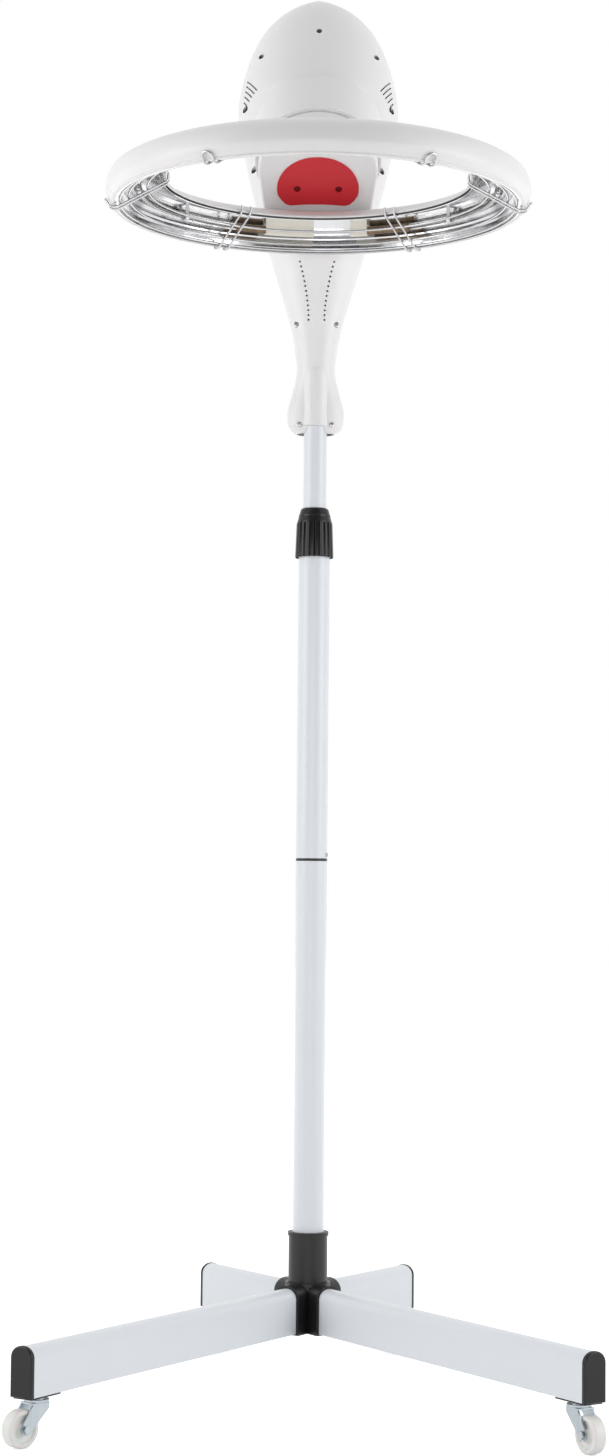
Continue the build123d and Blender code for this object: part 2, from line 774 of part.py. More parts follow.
def half_shell(inset, rear):
    """Solid half of the egg-shaped head, behind or ahead of the parting plane."""
    with BuildPart() as half_body:
        for height in shell_levels:
            half_width, front_y, rear_y = shell_size(height)
            depth = rear_y - parting_y if rear else parting_y - front_y
            crown_share = max(0.0, (height - crown_z) / (crown_top_z - crown_z))
            width_here = half_width - inset
            depth_here = depth - inset
            with BuildSketch(Plane(origin=(0, parting_y, height - inset * crown_share))):
                with BuildLine():
                    EllipticalCenterArc((0, 0), width_here, depth_here, 0 if rear else 180, arc_size=180)
                    Line((-width_here, 0), (width_here, 0))
                make_face()
        loft()
    return half_body.part


def screw_places():
    """Places of the shell screws, on both sides of the head."""
    places = []
    for x, z in shell_screw_places:
        places.append((x, z))
        if x:
            places.append((-x, z))
    return places


def screw_tower_radius(z):
    return foot_tower_radius if z < ridge_bottom_z + 10.0 else tower_radius


shell_foot_z = shell_stations[0][0]
shell_waist_z = 1180.0      # up to here the front wall hugs the mast
screw_seat_y = parting_y - screw_seat
front_outer = half_shell(0, rear=False)
front_inner = half_shell(shell_wall, rear=False)
rear_outer = half_shell(0, rear=True)
rear_inner = half_shell(shell_wall, rear=True)

# Space inside the front shell: the inner form less the screw towers.
with BuildPart() as front_space:
    add(front_inner)
    for x, z in screw_places():
        with BuildSketch(Plane.XZ.offset(-parting_y)):
            with Locations((x, z)):
                Circle(screw_tower_radius(z))
        extrude(amount=200.0, mode=Mode.SUBTRACT)

# Fixed boss of the turret, outside the inner form of the head.
with BuildPart() as turret_boss:
    with BuildSketch(turret.offset(-boss_length)):
        Circle(boss_root_radius)
    with BuildSketch(turret.offset(-boss_gap)):
        Circle(boss_radius)
    loft()
    with BuildSketch(turret.offset(-boss_gap - boss_rim_height)):
        Circle(boss_radius + boss_rim)
    extrude(amount=boss_rim_height - boss_rim)
    with BuildSketch(turret.offset(-boss_length)):
        Circle(boss_bore_radius)
    extrude(amount=boss_length - carrier_seat, mode=Mode.SUBTRACT)
    add(front_inner, mode=Mode.SUBTRACT)

# Front shell: the face of the head, the boss and the half-round socket round the mast.
with BuildPart() as front_shell:
    add(front_outer)
    add(front_space.part, mode=Mode.SUBTRACT)
    with BuildSketch(Plane.XY.offset(ridge_bottom_z)):
        Circle(ridge_radius)
    extrude(amount=ridge_top_z - ridge_bottom_z)
    with Locations((0, 0, ridge_top_z)):
        Sphere(ridge_radius)
    with BuildSketch(Plane.XZ.offset(-parting_y)):
        with Locations((0, ridge_top_z)):
            Rectangle(4 * ridge_radius, 10 * ridge_radius)
    extrude(amount=-2 * ridge_radius, mode=Mode.SUBTRACT)
    add(turret_boss.part)
    with BuildSketch(turret.offset(-boss_length - 35.0)):
        Circle(boss_bore_radius)
    extrude(amount=boss_length + 35.0 - carrier_seat, mode=Mode.SUBTRACT)
    with BuildSketch(turret.offset(-carrier_seat)):
        Circle(boss_step_radius)
    extrude(amount=carrier_seat - boss_gap - boss_face, mode=Mode.SUBTRACT)
    with BuildSketch(turret.offset(-boss_gap - boss_face)):
        Circle(turret_shaft_radius + 2.0)
    extrude(amount=boss_face, mode=Mode.SUBTRACT)
    with BuildSketch(Plane.XY.offset(shell_foot_z - 2.0)):
        Circle(mast_radius + mast_clearance)
    extrude(amount=shell_waist_z - shell_foot_z, mode=Mode.SUBTRACT)
    with BuildSketch(Plane.XZ.offset(-parting_y)):
        with Locations(*screw_places()):
            Circle(screw_shank_radius)
    extrude(amount=screw_seat, mode=Mode.SUBTRACT)
    with BuildSketch(Plane.XZ.offset(-screw_seat_y)):
        with Locations(*screw_places()):
            Circle(screw_recess_radius)
    extrude(amount=200.0, mode=Mode.SUBTRACT)
    with BuildSketch(Plane.XZ.offset(vent_start - parting_y)):
        for index in range(vent_count):
            share = index / (vent_count - 1)
            vent_x = vent_first[0] + (vent_last[0] - vent_first[0]) * share
            vent_z = vent_first[1] + (vent_last[1] - vent_first[1]) * share
            vent_length = vent_long + (vent_short - vent_long) * share
            for side in (-1, 1):
                with Locations(Location((side * vent_x, vent_z), side * vent_tilt)):
                    SlotOverall(vent_length, vent_width)
    extrude(amount=110.0, mode=Mode.SUBTRACT)
    with BuildSketch(Plane.XZ.offset(mast_radius + 2.0)):
        for index in range(hole_count):
            share = index / (hole_count - 1)
            hole_z = hole_bottom_z + (hole_top_z - hole_bottom_z) * share
            hole_x = hole_bottom_x + hole_spread * share**1.8
            with Locations((-hole_x, hole_z), (hole_x, hole_z)):
                Circle(hole_radius)
    extrude(amount=40.0, mode=Mode.SUBTRACT)
front_shell.part.label = "front_shell"
export_step(front_shell.part, "parts/front_shell.step")

# ------------------------------------------------------------------ rear shell
board_posts = [
    (side * board_post_x, z)
    for side in (-1, 1)
    for z in (board_bottom_z + board_post_inset, board_top_z - board_post_inset)
]
pad_middle_z = (pad_bottom_z + pad_top_z) / 2
pad_height = pad_top_z - pad_bottom_z
board_back_y = board_y + board_thickness

with BuildPart() as rear_space:
    add(rear_inner)
    with BuildSketch(Plane.XZ.offset(-pad_root_y)):
        with Locations((0, pad_middle_z)):
            RectangleRounded(2 * (pad_half_width - shell_wall), pad_height - 2 * shell_wall, 3.0)
    extrude(amount=-(pad_face_y - shell_wall - pad_root_y))
    for x, z in screw_places():
        with BuildSketch(Plane.XZ.offset(-parting_y)):
            with Locations((x, z)):
                Circle(screw_tower_radius(z))
        extrude(amount=-200.0, mode=Mode.SUBTRACT)
    for x, z in board_posts:
        with BuildSketch(Plane.XZ.offset(-board_back_y)):
            with Locations((x, z)):
                Circle(board_post_radius)
        extrude(amount=-60.0, mode=Mode.SUBTRACT)

rear_vent_count = 7
rear_vent_pitch = 7.0
rear_vent_width = 2.4
rear_vent_length = 26.0
rear_vent_bottom_z = 1282.0
with BuildPart() as rear_shell:
    add(rear_outer)
    with BuildSketch(Plane.XZ.offset(-pad_root_y)):
        with Locations((0, pad_middle_z)):
            RectangleRounded(2 * pad_half_width, pad_height, 6.0)
    extrude(amount=-(pad_face_y - pad_root_y))
    add(rear_space.part, mode=Mode.SUBTRACT)
    with BuildSketch(Plane.XY.offset(shell_foot_z - 2.0)):
        Circle(mast_radius + mast_clearance)
    extrude(amount=20.0, mode=Mode.SUBTRACT)
    with BuildSketch(Plane.XZ.offset(-parting_y)):
        with Locations(*screw_places()):
            Circle(screw_shank_radius)
    extrude(amount=-screw_grip, mode=Mode.SUBTRACT)
    with BuildSketch(Plane.XZ.offset(-board_back_y)):
        with Locations(*board_posts):
            Circle(screw_shank_radius)
    extrude(amount=-board_screw_grip, mode=Mode.SUBTRACT)
    with BuildSketch(Plane.XZ.offset(-bezel_back_y)):
        with Locations((0, panel_z)):
            RectangleRounded(bezel_width, bezel_height, bezel_corner)
    extrude(amount=-40.0, mode=Mode.SUBTRACT)
    with BuildSketch(Plane.XZ.offset(-(pad_face_y - 2 * shell_wall))):
        with Locations((0, inlet_z)):
            Rectangle(inlet_width, inlet_height)
        with Locations((0, switch_z)):
            Rectangle(switch_width, switch_height)
    extrude(amount=-3 * shell_wall, mode=Mode.SUBTRACT)
    with BuildSketch(Plane.XZ.offset(-(parting_y + 22.0))):
        for index in range(rear_vent_count):
            with Locations((0, rear_vent_bottom_z + rear_vent_pitch * index)):
                SlotOverall(rear_vent_length + 4.0 * index, rear_vent_width)
    extrude(amount=-80.0, mode=Mode.SUBTRACT)
rear_shell.part.label = "rear_shell"
export_step(rear_shell.part, "parts/rear_shell.step")

with BuildPart() as shell_screws:
    for x, z in screw_places():
        with BuildSketch(Plane.XZ.offset(-screw_seat_y)):
            with Locations((x, z)):
                Circle(screw_head_radius)
        extrude(amount=screw_head_height)
        with BuildSketch(Plane.XZ.offset(-screw_seat_y)):
            with Locations((x, z)):
                Circle(screw_shank_radius)
        extrude(amount=-(screw_seat + screw_grip))
shell_screws.part.label = "shell_screws"
export_step(shell_screws.part, "parts/shell_screws.step")

# ------------------------------------------------------------------ head frame
# One casting: a clamp block on the mast, a web and the carrier of the turret bearings.
centre_distance = gear_module * (orbit_teeth + pinion_teeth) / 2 + gear_slack
web_points = [
    turret.from_local_coords((0, -carrier_hub_radius + 3.0, -carrier_seat - carrier_thickness + 1.0)),
    turret.from_local_coords((0, -boss_bore_radius + 3.0, -carrier_seat - carrier_thickness + 1.0)),
    Vector(0, -clamp_half_depth, clamp_top_z - 20.0),
    Vector(0, clamp_half_depth, clamp_top_z - 20.0),
    Vector(0, clamp_half_depth, clamp_top_z),
    turret.from_local_coords((0, -carrier_hub_radius + 3.0, -carrier_hub_end)),
]
web_outline = [(point.Y, point.Z) for point in web_points]

with BuildPart() as head_frame:
    with BuildSketch(Plane.XY.offset(clamp_bottom_z)):
        RectangleRounded(2 * clamp_half_width, 2 * clamp_half_depth, 5.0)
    extrude(amount=clamp_top_z - clamp_bottom_z)
    with BuildSketch(Plane.YZ):
        Polygon(*web_outline, align=None)
    extrude(amount=web_thickness / 2, both=True)
    with BuildSketch(turret.offset(-carrier_seat - carrier_thickness)):
        Circle(boss_bore_radius - free_gap)
    extrude(amount=carrier_thickness)
    with BuildSketch(turret.offset(-carrier_hub_end)):
        Circle(carrier_hub_radius)
    extrude(amount=carrier_hub_end - carrier_seat)
    with BuildSketch(turret.offset(-carrier_hub_end)):
        Circle(bearing_radius)
    extrude(amount=bearing_width, mode=Mode.SUBTRACT)
    with BuildSketch(turret.offset(-carrier_seat - bearing_width)):
        Circle(bearing_radius)
    extrude(amount=bearing_width, mode=Mode.SUBTRACT)
    with BuildSketch(turret.offset(-carrier_hub_end)):
        Circle(bearing_radius - 3.0)
    extrude(amount=carrier_hub_end, mode=Mode.SUBTRACT)
    with BuildSketch(turret.offset(-carrier_seat - carrier_thickness)):
        with Locations((centre_distance, 0)):
            Circle(motor_shaft_radius + 1.5)
    extrude(amount=carrier_thickness, mode=Mode.SUBTRACT)
    with BuildSketch(Plane.XY.offset(clamp_bottom_z)):
        Circle(mast_radius)
    extrude(amount=mast_top_z - clamp_bottom_z, mode=Mode.SUBTRACT)
head_frame.part.label = "head_frame"
export_step(head_frame.part, "parts/head_frame.step")

with BuildPart() as turret_bearings:
    for depth in (carrier_hub_end, carrier_seat + bearing_width):
        with BuildSketch(turret.offset(-depth)):
            Circle(bearing_radius)
            Circle(turret_shaft_radius + sliding_fit, mode=Mode.SUBTRACT)
        extrude(amount=bearing_width)
turret_bearings.part.label = "turret_bearings"
export_step(turret_bearings.part, "parts/turret_bearings.step")

motor_face = carrier_seat + carrier_thickness
with BuildPart() as drive_motor:
    with BuildSketch(turret.offset(-motor_face - motor_length)):
        with Locations((centre_distance, 0)):
            Circle(motor_radius)
    extrude(amount=motor_length)
    with BuildSketch(turret.offset(-motor_face - motor_shaft_engagement - 1.0)):
        with Locations((centre_distance, 0)):
            Circle(motor_shaft_radius + sliding_fit)
    extrude(amount=motor_shaft_engagement + 1.0, mode=Mode.SUBTRACT)
drive_motor.part.label = "drive_motor"
export_step(drive_motor.part, "parts/drive_motor.step")


def gear_sketch(teeth, turn):
    """Spur gear face with straight-flanked teeth, the first one at the angle given."""
    pitch_radius = gear_module * teeth / 2
    root_radius = pitch_radius - 1.2 * gear_module
    tooth_rise = 2.0 * gear_module
    tooth_root = 0.27 * pi * gear_module
    tooth_tip = 0.11 * pi * gear_module
    with BuildSketch() as face:
        Circle(root_radius)
        with PolarLocations(root_radius - 0.3, teeth, start_angle=turn):
            Polygon(
                (0, -tooth_root),
                (tooth_rise, -tooth_tip),
                (tooth_rise, tooth_tip),
                (0, tooth_root),
                align=None,
            )
    return face.sketch


orbit_gear_face = gear_sketch(orbit_teeth, 0)
pinion_face = gear_sketch(pinion_teeth, 180.0 / pinion_teeth)
gear_back = gear_front + gear_face_width

with BuildPart() as drive_pinion:
    with BuildSketch(turret.offset(-gear_back)):
        with Locations((centre_distance, 0)):
            add(pinion_face)
    extrude(amount=gear_face_width)
    with BuildSketch(turret.offset(-motor_face - motor_shaft_engagement)):
        with Locations((centre_distance, 0)):
            Circle(motor_shaft_radius)
    extrude(amount=motor_face + motor_shaft_engagement - gear_back)
drive_pinion.part.label = "drive_pinion"
export_step(drive_pinion.part, "parts/drive_pinion.step")

# ================================================================== rear panel
display_z = panel_z + display_rise
key_z = panel_z - key_drop
facia_back_y = facia_front_y - facia_thickness
bezel_inner_width = bezel_width - 2 * bezel_wall
bezel_inner_height = bezel_height - 2 * bezel_wall
bezel_inner_corner = bezel_corner - bezel_wall

with BuildPart() as panel_bezel:
    with BuildSketch(Plane.XZ.offset(-bezel_back_y)):
        with Locations((0, panel_z)):
            RectangleRounded(bezel_width, bezel_height, bezel_corner)
    extrude(amount=-(bezel_front_y - bezel_back_y))
    chamfer(panel_bezel.faces().sort_by(Axis.Y)[-1].edges(), 1.4)
    with BuildSketch(Plane.XZ.offset(-bezel_back_y)):
        with Locations((0, panel_z)):
            RectangleRounded(bezel_inner_width, bezel_inner_height, bezel_inner_corner)
    extrude(amount=-(bezel_front_y - bezel_back_y), mode=Mode.SUBTRACT)
panel_bezel.part.label = "panel_bezel"
export_step(panel_bezel.part, "parts/panel_bezel.step")

key_places = {"less_key": -key_pitch, "start_key": 0.0, "more_key": key_pitch}
with BuildPart() as panel_facia:
    with BuildSketch(Plane.XZ.offset(-facia_back_y)):
        with Locations((0, panel_z)):
            RectangleRounded(bezel_inner_width, bezel_inner_height, bezel_inner_corner)
        with Locations((0, display_z)):
            RectangleRounded(display_width, display_height, 2.0, mode=Mode.SUBTRACT)
        for x in key_places.values():
            with Locations((-x, key_z)):
                Circle(key_radius + joint_gap, mode=Mode.SUBTRACT)
    extrude(amount=-facia_thickness)
panel_facia.part.label = "panel_facia"
export_step(panel_facia.part, "parts/panel_facia.step")

with BuildPart() as display_window:
    with BuildSketch(Plane.XZ.offset(-facia_back_y)):
        with Locations((0, display_z)):
            RectangleRounded(display_width, display_height, 2.0)
    extrude(amount=-(facia_thickness - 0.5))
display_window.part.label = "display_window"
export_step(display_window.part, "parts/display_window.step")

# Keys: a cap that shows, a flange behind the facia and a stem that ends at its switch on the board.
key_flange_front_y = facia_back_y - joint_gap
tact_top_y = board_back_y + tact_height
for key_name, x in key_places.items():
    with BuildPart() as key:
        with BuildSketch(Plane.XZ.offset(-key_flange_front_y)):
            with Locations((-x, key_z)):
                Circle(key_radius)
        extrude(amount=-key_height)
        fillet(key.faces().sort_by(Axis.Y)[-1].edges(), 0.8)
        with BuildSketch(Plane.XZ.offset(-key_flange_front_y)):
            with Locations((-x, key_z)):
                Circle(key_flange_radius)
        extrude(amount=key_flange)
        with BuildSketch(Plane.XZ.offset(-(tact_top_y + key_travel + 0.1))):
            with Locations((-x, key_z)):
                Circle(key_stem_radius)
        extrude(amount=-(key_flange_front_y - key_flange - tact_top_y - key_travel - 0.1))
    key.part.label = key_name
    export_step(key.part, f"parts/{key_name}.step")

with BuildPart() as control_board:
    with BuildSketch(Plane.XZ.offset(-board_y)):
        with Locations((0, (board_bottom_z + board_top_z) / 2)):
            Rectangle(board_width, board_top_z - board_bottom_z)
        with Locations(*board_posts):
            Circle(screw_shank_radius, mode=Mode.SUBTRACT)
    extrude(amount=-board_thickness)
    with BuildSketch(Plane.XZ.offset(-board_back_y)):
        for x in key_places.values():
            with Locations((-x, key_z)):
                Rectangle(tact_size, tact_size)
    extrude(amount=-tact_height)
    with BuildSketch(Plane.XZ.offset(-board_y)):
        with Locations((0, board_bottom_z + 24.0)):
            Rectangle(32.0, 26.0)
        with Locations((-16.0, board_top_z - 22.0), (16.0, board_top_z - 22.0)):
            Rectangle(18.0, 14.0)
    extrude(amount=12.0)
control_board.part.label = "control_board"
export_step(control_board.part, "parts/control_board.step")

with BuildPart() as board_screws:
    for x, z in board_posts:
        with BuildSketch(Plane.XZ.offset(-board_y)):
            with Locations((x, z)):
                Circle(screw_head_radius)
        extrude(amount=screw_head_height)
        with BuildSketch(Plane.XZ.offset(-board_y)):
            with Locations((x, z)):
                Circle(screw_shank_radius)
        extrude(amount=-(board_thickness + board_screw_grip))
board_screws.part.label = "board_screws"
export_step(board_screws.part, "parts/board_screws.step")

# ------------------------------------------------------------------ inlet and rocker switch
with BuildPart() as power_inlet:
    with BuildSketch(Plane.XZ.offset(-pad_face_y)):
        with Locations((0, inlet_z)):
            RectangleRounded(inlet_flange_width, inlet_flange_height, 2.0)
    extrude(amount=-inlet_flange)
    with BuildSketch(Plane.XZ.offset(-pad_face_y)):
        with Locations((0, inlet_z)):
            Rectangle(inlet_width, inlet_height)
    extrude(amount=inlet_depth)
    with BuildSketch(Plane.XZ.offset(-(pad_face_y + inlet_flange))):
        with Locations((0, inlet_z)):
            RectangleRounded(inlet_mouth_width, inlet_mouth_height, 3.0)
    extrude(amount=inlet_mouth_depth, mode=Mode.SUBTRACT)
power_inlet.part.label = "power_inlet"
export_step(power_inlet.part, "parts/power_inlet.step")

inlet_floor_y = pad_face_y + inlet_flange - inlet_mouth_depth
with BuildPart() as inlet_pins:
    with BuildSketch(Plane.XZ.offset(-inlet_floor_y)):
        with Locations((-inlet_pin_spacing, inlet_z - 1.5), (0, inlet_z + 1.5), (inlet_pin_spacing, inlet_z - 1.5)):
            Rectangle(2.0, 4.0)
    extrude(amount=-12.0)
inlet_pins.part.label = "inlet_pins"
export_step(inlet_pins.part, "parts/inlet_pins.step")

rocker_pivot_y = pad_face_y - rocker_drop
rocker_pivot_length = 1.0
with BuildPart() as switch_housing:
    with BuildSketch(Plane.XZ.offset(-pad_face_y)):
        with Locations((0, switch_z)):
            RectangleRounded(switch_flange_width, switch_flange_height, 1.5)
    extrude(amount=-switch_flange)
    with BuildSketch(Plane.XZ.offset(-pad_face_y)):
        with Locations((0, switch_z)):
            Rectangle(switch_width, switch_height)
    extrude(amount=switch_depth)
    with BuildSketch(Plane.XZ.offset(-(pad_face_y + switch_flange))):
        with Locations((0, switch_z)):
            Rectangle(switch_mouth_width, switch_mouth_height)
    extrude(amount=rocker_drop + switch_flange + 5.8, mode=Mode.SUBTRACT)
    with BuildSketch(Plane.YZ):
        with Locations((rocker_pivot_y, switch_z)):
            Circle(rocker_pivot_radius + sliding_fit)
    extrude(amount=switch_mouth_width / 2 + 0.8, both=True, mode=Mode.SUBTRACT)
switch_housing.part.label = "switch_housing"
export_step(switch_housing.part, "parts/switch_housing.step")

# Rocker, at rest with its lower end pressed in.
rocker_rest = Plane(
    origin=(0, rocker_pivot_y, switch_z),
    x_dir=(0, sin(radians(rocker_tilt)), cos(radians(rocker_tilt))),
    z_dir=(1, 0, 0),
)
with BuildPart() as switch_rocker:
    with BuildSketch(rocker_rest):
        Circle(rocker_half_height)
        Polygon(
            (-rocker_half_height, 0),
            (-rocker_half_height, -rocker_crest),
            (0, -rocker_valley),
            (rocker_half_height, -rocker_crest),
            (rocker_half_height, 0),
            align=None,
        )
    extrude(amount=rocker_width / 2, both=True)
    with BuildSketch(rocker_rest):
        Circle(rocker_pivot_radius)
    extrude(amount=switch_mouth_width / 2 + 0.6, both=True)
switch_rocker.part.label = "switch_rocker"
export_step(switch_rocker.part, "parts/switch_rocker.step")

# ================================================================== orbiting arm and ring
ring_centre = Vector(0, ring_y, ring_lip_z)
ring_axis = Axis(ring_centre, (0, 0, 1))


def ring_plane(angle):
    """Radial section plane of the ring: x outwards, y up, at an angle anticlockwise from +X."""
    turn = radians(angle)
    return Plane(origin=ring_centre, x_dir=(cos(turn), sin(turn), 0), z_dir=(sin(turn), -cos(turn), 0))


def dome_points(inset):
    """Points of the ring's dome from the outer lip over the top to the inner lip."""
    width = outer_lip - inner_lip
    return [
        (outer_lip - inset, 0),
        (outer_lip + ring_bulge - inset, 0.33 * ring_height),
        (outer_lip + 0.2 * ring_bulge - 0.8 * inset, 0.76 * ring_height - 0.6 * inset),
        (outer_lip - 0.4 * width, ring_height - inset),
        (inner_lip + 0.24 * width + 0.35 * inset, 0.93 * ring_height - 0.94 * inset),
        (inner_lip + 0.61 * inset, inner_lip_rise - 0.79 * inset),
    ]


with BuildPart() as ring_body:
    with BuildSketch(ring_plane(0)):
        with BuildLine():
            dome = Spline(*dome_points(0))
            Line(dome @ 1, dome @ 0)
        make_face()
    revolve(axis=ring_axis)

with BuildPart() as ring_shell:
    with BuildSketch(ring_plane(0)):
        with BuildLine():
            outside = Spline(*dome_points(0))
            inside = Spline(*dome_points(ring_wall))
            Line(outside @ 0, inside @ 0)
            Line(outside @ 1, inside @ 1)
        make_face()
    revolve(axis=ring_axis)
ring_shell.part.label = "ring_shell"
export_step(ring_shell.part, "parts/ring_shell.step")


def arm_outline(grow):
    """Outline of the arm: a half circle about the turret axis and a rounded foot below it."""
    with BuildSketch() as outline:
        with BuildLine() as edge:
            Line((-arm_radius - grow, 0), (-arm_lower_half_width - grow, -arm_length - grow))
            Line((-arm_lower_half_width - grow, -arm_length - grow), (arm_lower_half_width + grow, -arm_length - grow))
            Line((arm_lower_half_width + grow, -arm_length - grow), (arm_radius + grow, 0))
            ThreePointArc((arm_radius + grow, 0), (0, arm_radius + grow), (-arm_radius - grow, 0))
        make_face()
        fillet(outline.vertices().group_by(Axis.Y)[0], arm_corner_radius + grow)
    return outline.sketch


arm_face = arm_outline(0)
arm_inside = arm_outline(-arm_wall)

# Arm tray: the rear half of the arm, which the turret shaft carries and the ring hangs from.
with BuildPart() as turret_arm:
    with BuildSketch(turret):
        add(arm_face)
    extrude(amount=arm_tray_depth)
    with BuildSketch(turret.offset(arm_wall)):
        add(arm_inside)
    extrude(amount=arm_tray_depth, mode=Mode.SUBTRACT)
    with BuildSketch(turret):
        Circle(turret_shaft_radius)
    extrude(amount=arm_wall, mode=Mode.SUBTRACT)
    add(ring_body.part, mode=Mode.SUBTRACT)
turret_arm.part.label = "turret_arm"
export_step(turret_arm.part, "parts/turret_arm.step")


def window_outline():
    """Outline of the sensor window: a domed top, wide shoulders and a shallow hollow foot."""
    half = window_half_width
    foot = window_foot_half_width
    with BuildSketch() as outline:
        with BuildLine():
            side_curve = Spline(
                (0, window_top),
                (0.42 * half, window_top - 3.4),
                (0.84 * half, 0.14 * window_top),
                (half, window_widest),
                (0.94 * half, -0.76 * window_bottom),
                (0.83 * half, -0.91 * window_bottom),
                (foot, -window_bottom),
                tangents=((1, 0), (-1, -0.15)),
            )
            mirror(side_curve, about=Plane.YZ)
            ThreePointArc((foot, -window_bottom), (0, window_foot_hollow - window_bottom), (-foot, -window_bottom))
        make_face()
    return outline.sketch


window_face = window_outline()
with BuildPart() as arm_cover:
    with BuildSketch(turret.offset(arm_tray_depth)):
        add(arm_face)
    extrude(amount=arm_face_depth - arm_tray_depth)
    fillet(arm_cover.faces().sort_by(turret_axis)[-1].edges(), arm_edge_radius)
    with BuildSketch(turret.offset(arm_face_depth - window_thickness + window_rise)):
        add(window_face)
    extrude(amount=window_thickness, mode=Mode.SUBTRACT)
    with BuildSketch(turret.offset(arm_tray_depth)):
        with Locations((-sensor_offset, -sensor_drop), (sensor_offset, -sensor_drop)):
            Circle(sensor_hole_radius)
    extrude(amount=arm_face_depth - arm_tray_depth, mode=Mode.SUBTRACT)
    add(ring_body.part, mode=Mode.SUBTRACT)
arm_cover.part.label = "arm_cover"
export_step(arm_cover.part, "parts/arm_cover.step")

with BuildPart() as sensor_window:
    with BuildSketch(turret.offset(arm_face_depth - window_thickness + window_rise)):
        add(window_face)
        with Locations((-sensor_offset, -sensor_drop), (sensor_offset, -sensor_drop)):
            Circle(sensor_hole_radius, mode=Mode.SUBTRACT)
    extrude(amount=window_thickness)
sensor_window.part.label = "sensor_window"
export_step(sensor_window.part, "parts/sensor_window.step")

with BuildPart() as heat_sensors:
    with BuildSketch(turret.offset(arm_face_depth - sensor_depth)):
        with Locations((-sensor_offset, -sensor_drop), (sensor_offset, -sensor_drop)):
            Circle(sensor_hole_radius)
    extrude(amount=sensor_depth - 0.8)
heat_sensors.part.label = "heat_sensors"
export_step(heat_sensors.part, "parts/heat_sensors.step")

with BuildPart() as turret_shaft:
    with BuildSketch(turret.offset(-turret_shaft_end)):
        Circle(turret_shaft_radius)
    extrude(amount=turret_shaft_end + arm_wall)
    with BuildSketch(turret.offset(arm_wall)):
        Circle(turret_flange_radius)
    extrude(amount=turret_flange)
    with BuildSketch(turret.offset(-turret_shaft_end)):
        Circle(turret_shaft_bore)
    extrude(amount=turret_shaft_end + arm_wall + turret_flange, mode=Mode.SUBTRACT)
turret_shaft.part.label = "turret_shaft"
export_step(turret_shaft.part, "parts/turret_shaft.step")

with BuildPart() as orbit_gear:
    with BuildSketch(turret.offset(-gear_back)):
        add(orbit_gear_face)
        Circle(turret_shaft_radius, mode=Mode.SUBTRACT)
    extrude(amount=gear_face_width)
orbit_gear.part.label = "orbit_gear"
export_step(orbit_gear.part, "parts/orbit_gear.step")

# ------------------------------------------------------------------ reflector and heaters
reflector_points = [(outer_lip - ring_wall - 0.2, 0.9), (reflector_lip, 0.9)]
step_radius = reflector_lip
step_rise = 0.9
for index in range(reflector_steps):
    step_rise += reflector_step_height
    reflector_points.append((step_radius, step_rise))
    step_radius -= reflector_step_in * (0.6 + 0.35 * index)
    reflector_points.append((step_radius, step_rise))
reflector_points += [
    (heater_radius - 2.0, reflector_ceiling),
    (heater_radius - 15.0, reflector_ceiling),
    (inner_lip + 8.0, inner_lip_rise + 2.0),
    (inner_lip + ring_wall + 0.9, inner_lip_rise - 2.0),
]

with BuildPart() as reflector:
    with BuildSketch(ring_plane(0)):
        with BuildLine() as reflector_line:
            Polyline(*reflector_points)
        trace(line_width=reflector_sheet)
    revolve(axis=ring_axis)
reflector.part.label = "reflector"
export_step(reflector.part, "parts/reflector.step")

rear_angle = 90.0
heater_sides = (-1, 1)


def ring_arc(section, start, end, side):
    """Sweep a radial section round the ring between two angles from its rear centre."""
    first = start if side > 0 else -end
    with BuildPart() as arc:
        with BuildSketch(ring_plane(rear_angle + first)):
            add(section)
        revolve(axis=ring_axis, revolution_arc=end - start)
    return arc.part


def heater_circle(radius, bore=0.0):
    with BuildSketch() as face:
        with Locations((heater_radius, heater_rise)):
            Circle(radius)
            if bore:
                Circle(bore, mode=Mode.SUBTRACT)
    return face.sketch


quartz_face = heater_circle(quartz_radius, quartz_radius - quartz_wall)
coil_face = heater_circle(coil_radius)
end_cap_face = heater_circle(end_cap_radius)
ceramic_bottom = heater_rise - ceramic_inner_reach
ceramic_inner = heater_radius - ceramic_inner_reach
ceramic_outer = heater_radius + ceramic_outer_reach
ceramic_top = ceramic_bottom + ceramic_height
hanger_top = reflector_ceiling - reflector_sheet / 2
with BuildSketch() as ceramic_section:
    Polygon(
        (ceramic_inner, ceramic_bottom),
        (ceramic_outer, ceramic_bottom),
        (ceramic_outer, ceramic_top),
        (ceramic_inner + ceramic_neck, ceramic_top),
        (ceramic_inner + ceramic_neck, hanger_top),
        (ceramic_inner, hanger_top),
        align=None,
    )

quartz_parts = [ring_arc(quartz_face, quartz_starts[side], quartz_end, side) for side in heater_sides]
coil_parts = [ring_arc(coil_face, quartz_starts[side], quartz_end, side) for side in heater_sides]
cap_parts = [ring_arc(end_cap_face, ceramic_spans[side][1], quartz_starts[side], side) for side in heater_sides]
cap_parts += [ring_arc(end_cap_face, quartz_end, front_cap_end, side) for side in heater_sides]

with BuildPart() as heater_tubes:
    for piece in quartz_parts:
        add(piece)
heater_tubes.part.label = "heater_tubes"
export_step(heater_tubes.part, "parts/heater_tubes.step")

with BuildPart() as heater_coils:
    for piece in coil_parts:
        add(piece)
heater_coils.part.label = "heater_coils"
export_step(heater_coils.part, "parts/heater_coils.step")

with BuildPart() as heater_end_caps:
    for piece in cap_parts:
        add(piece)
heater_end_caps.part.label = "heater_end_caps"
export_step(heater_end_caps.part, "parts/heater_end_caps.step")

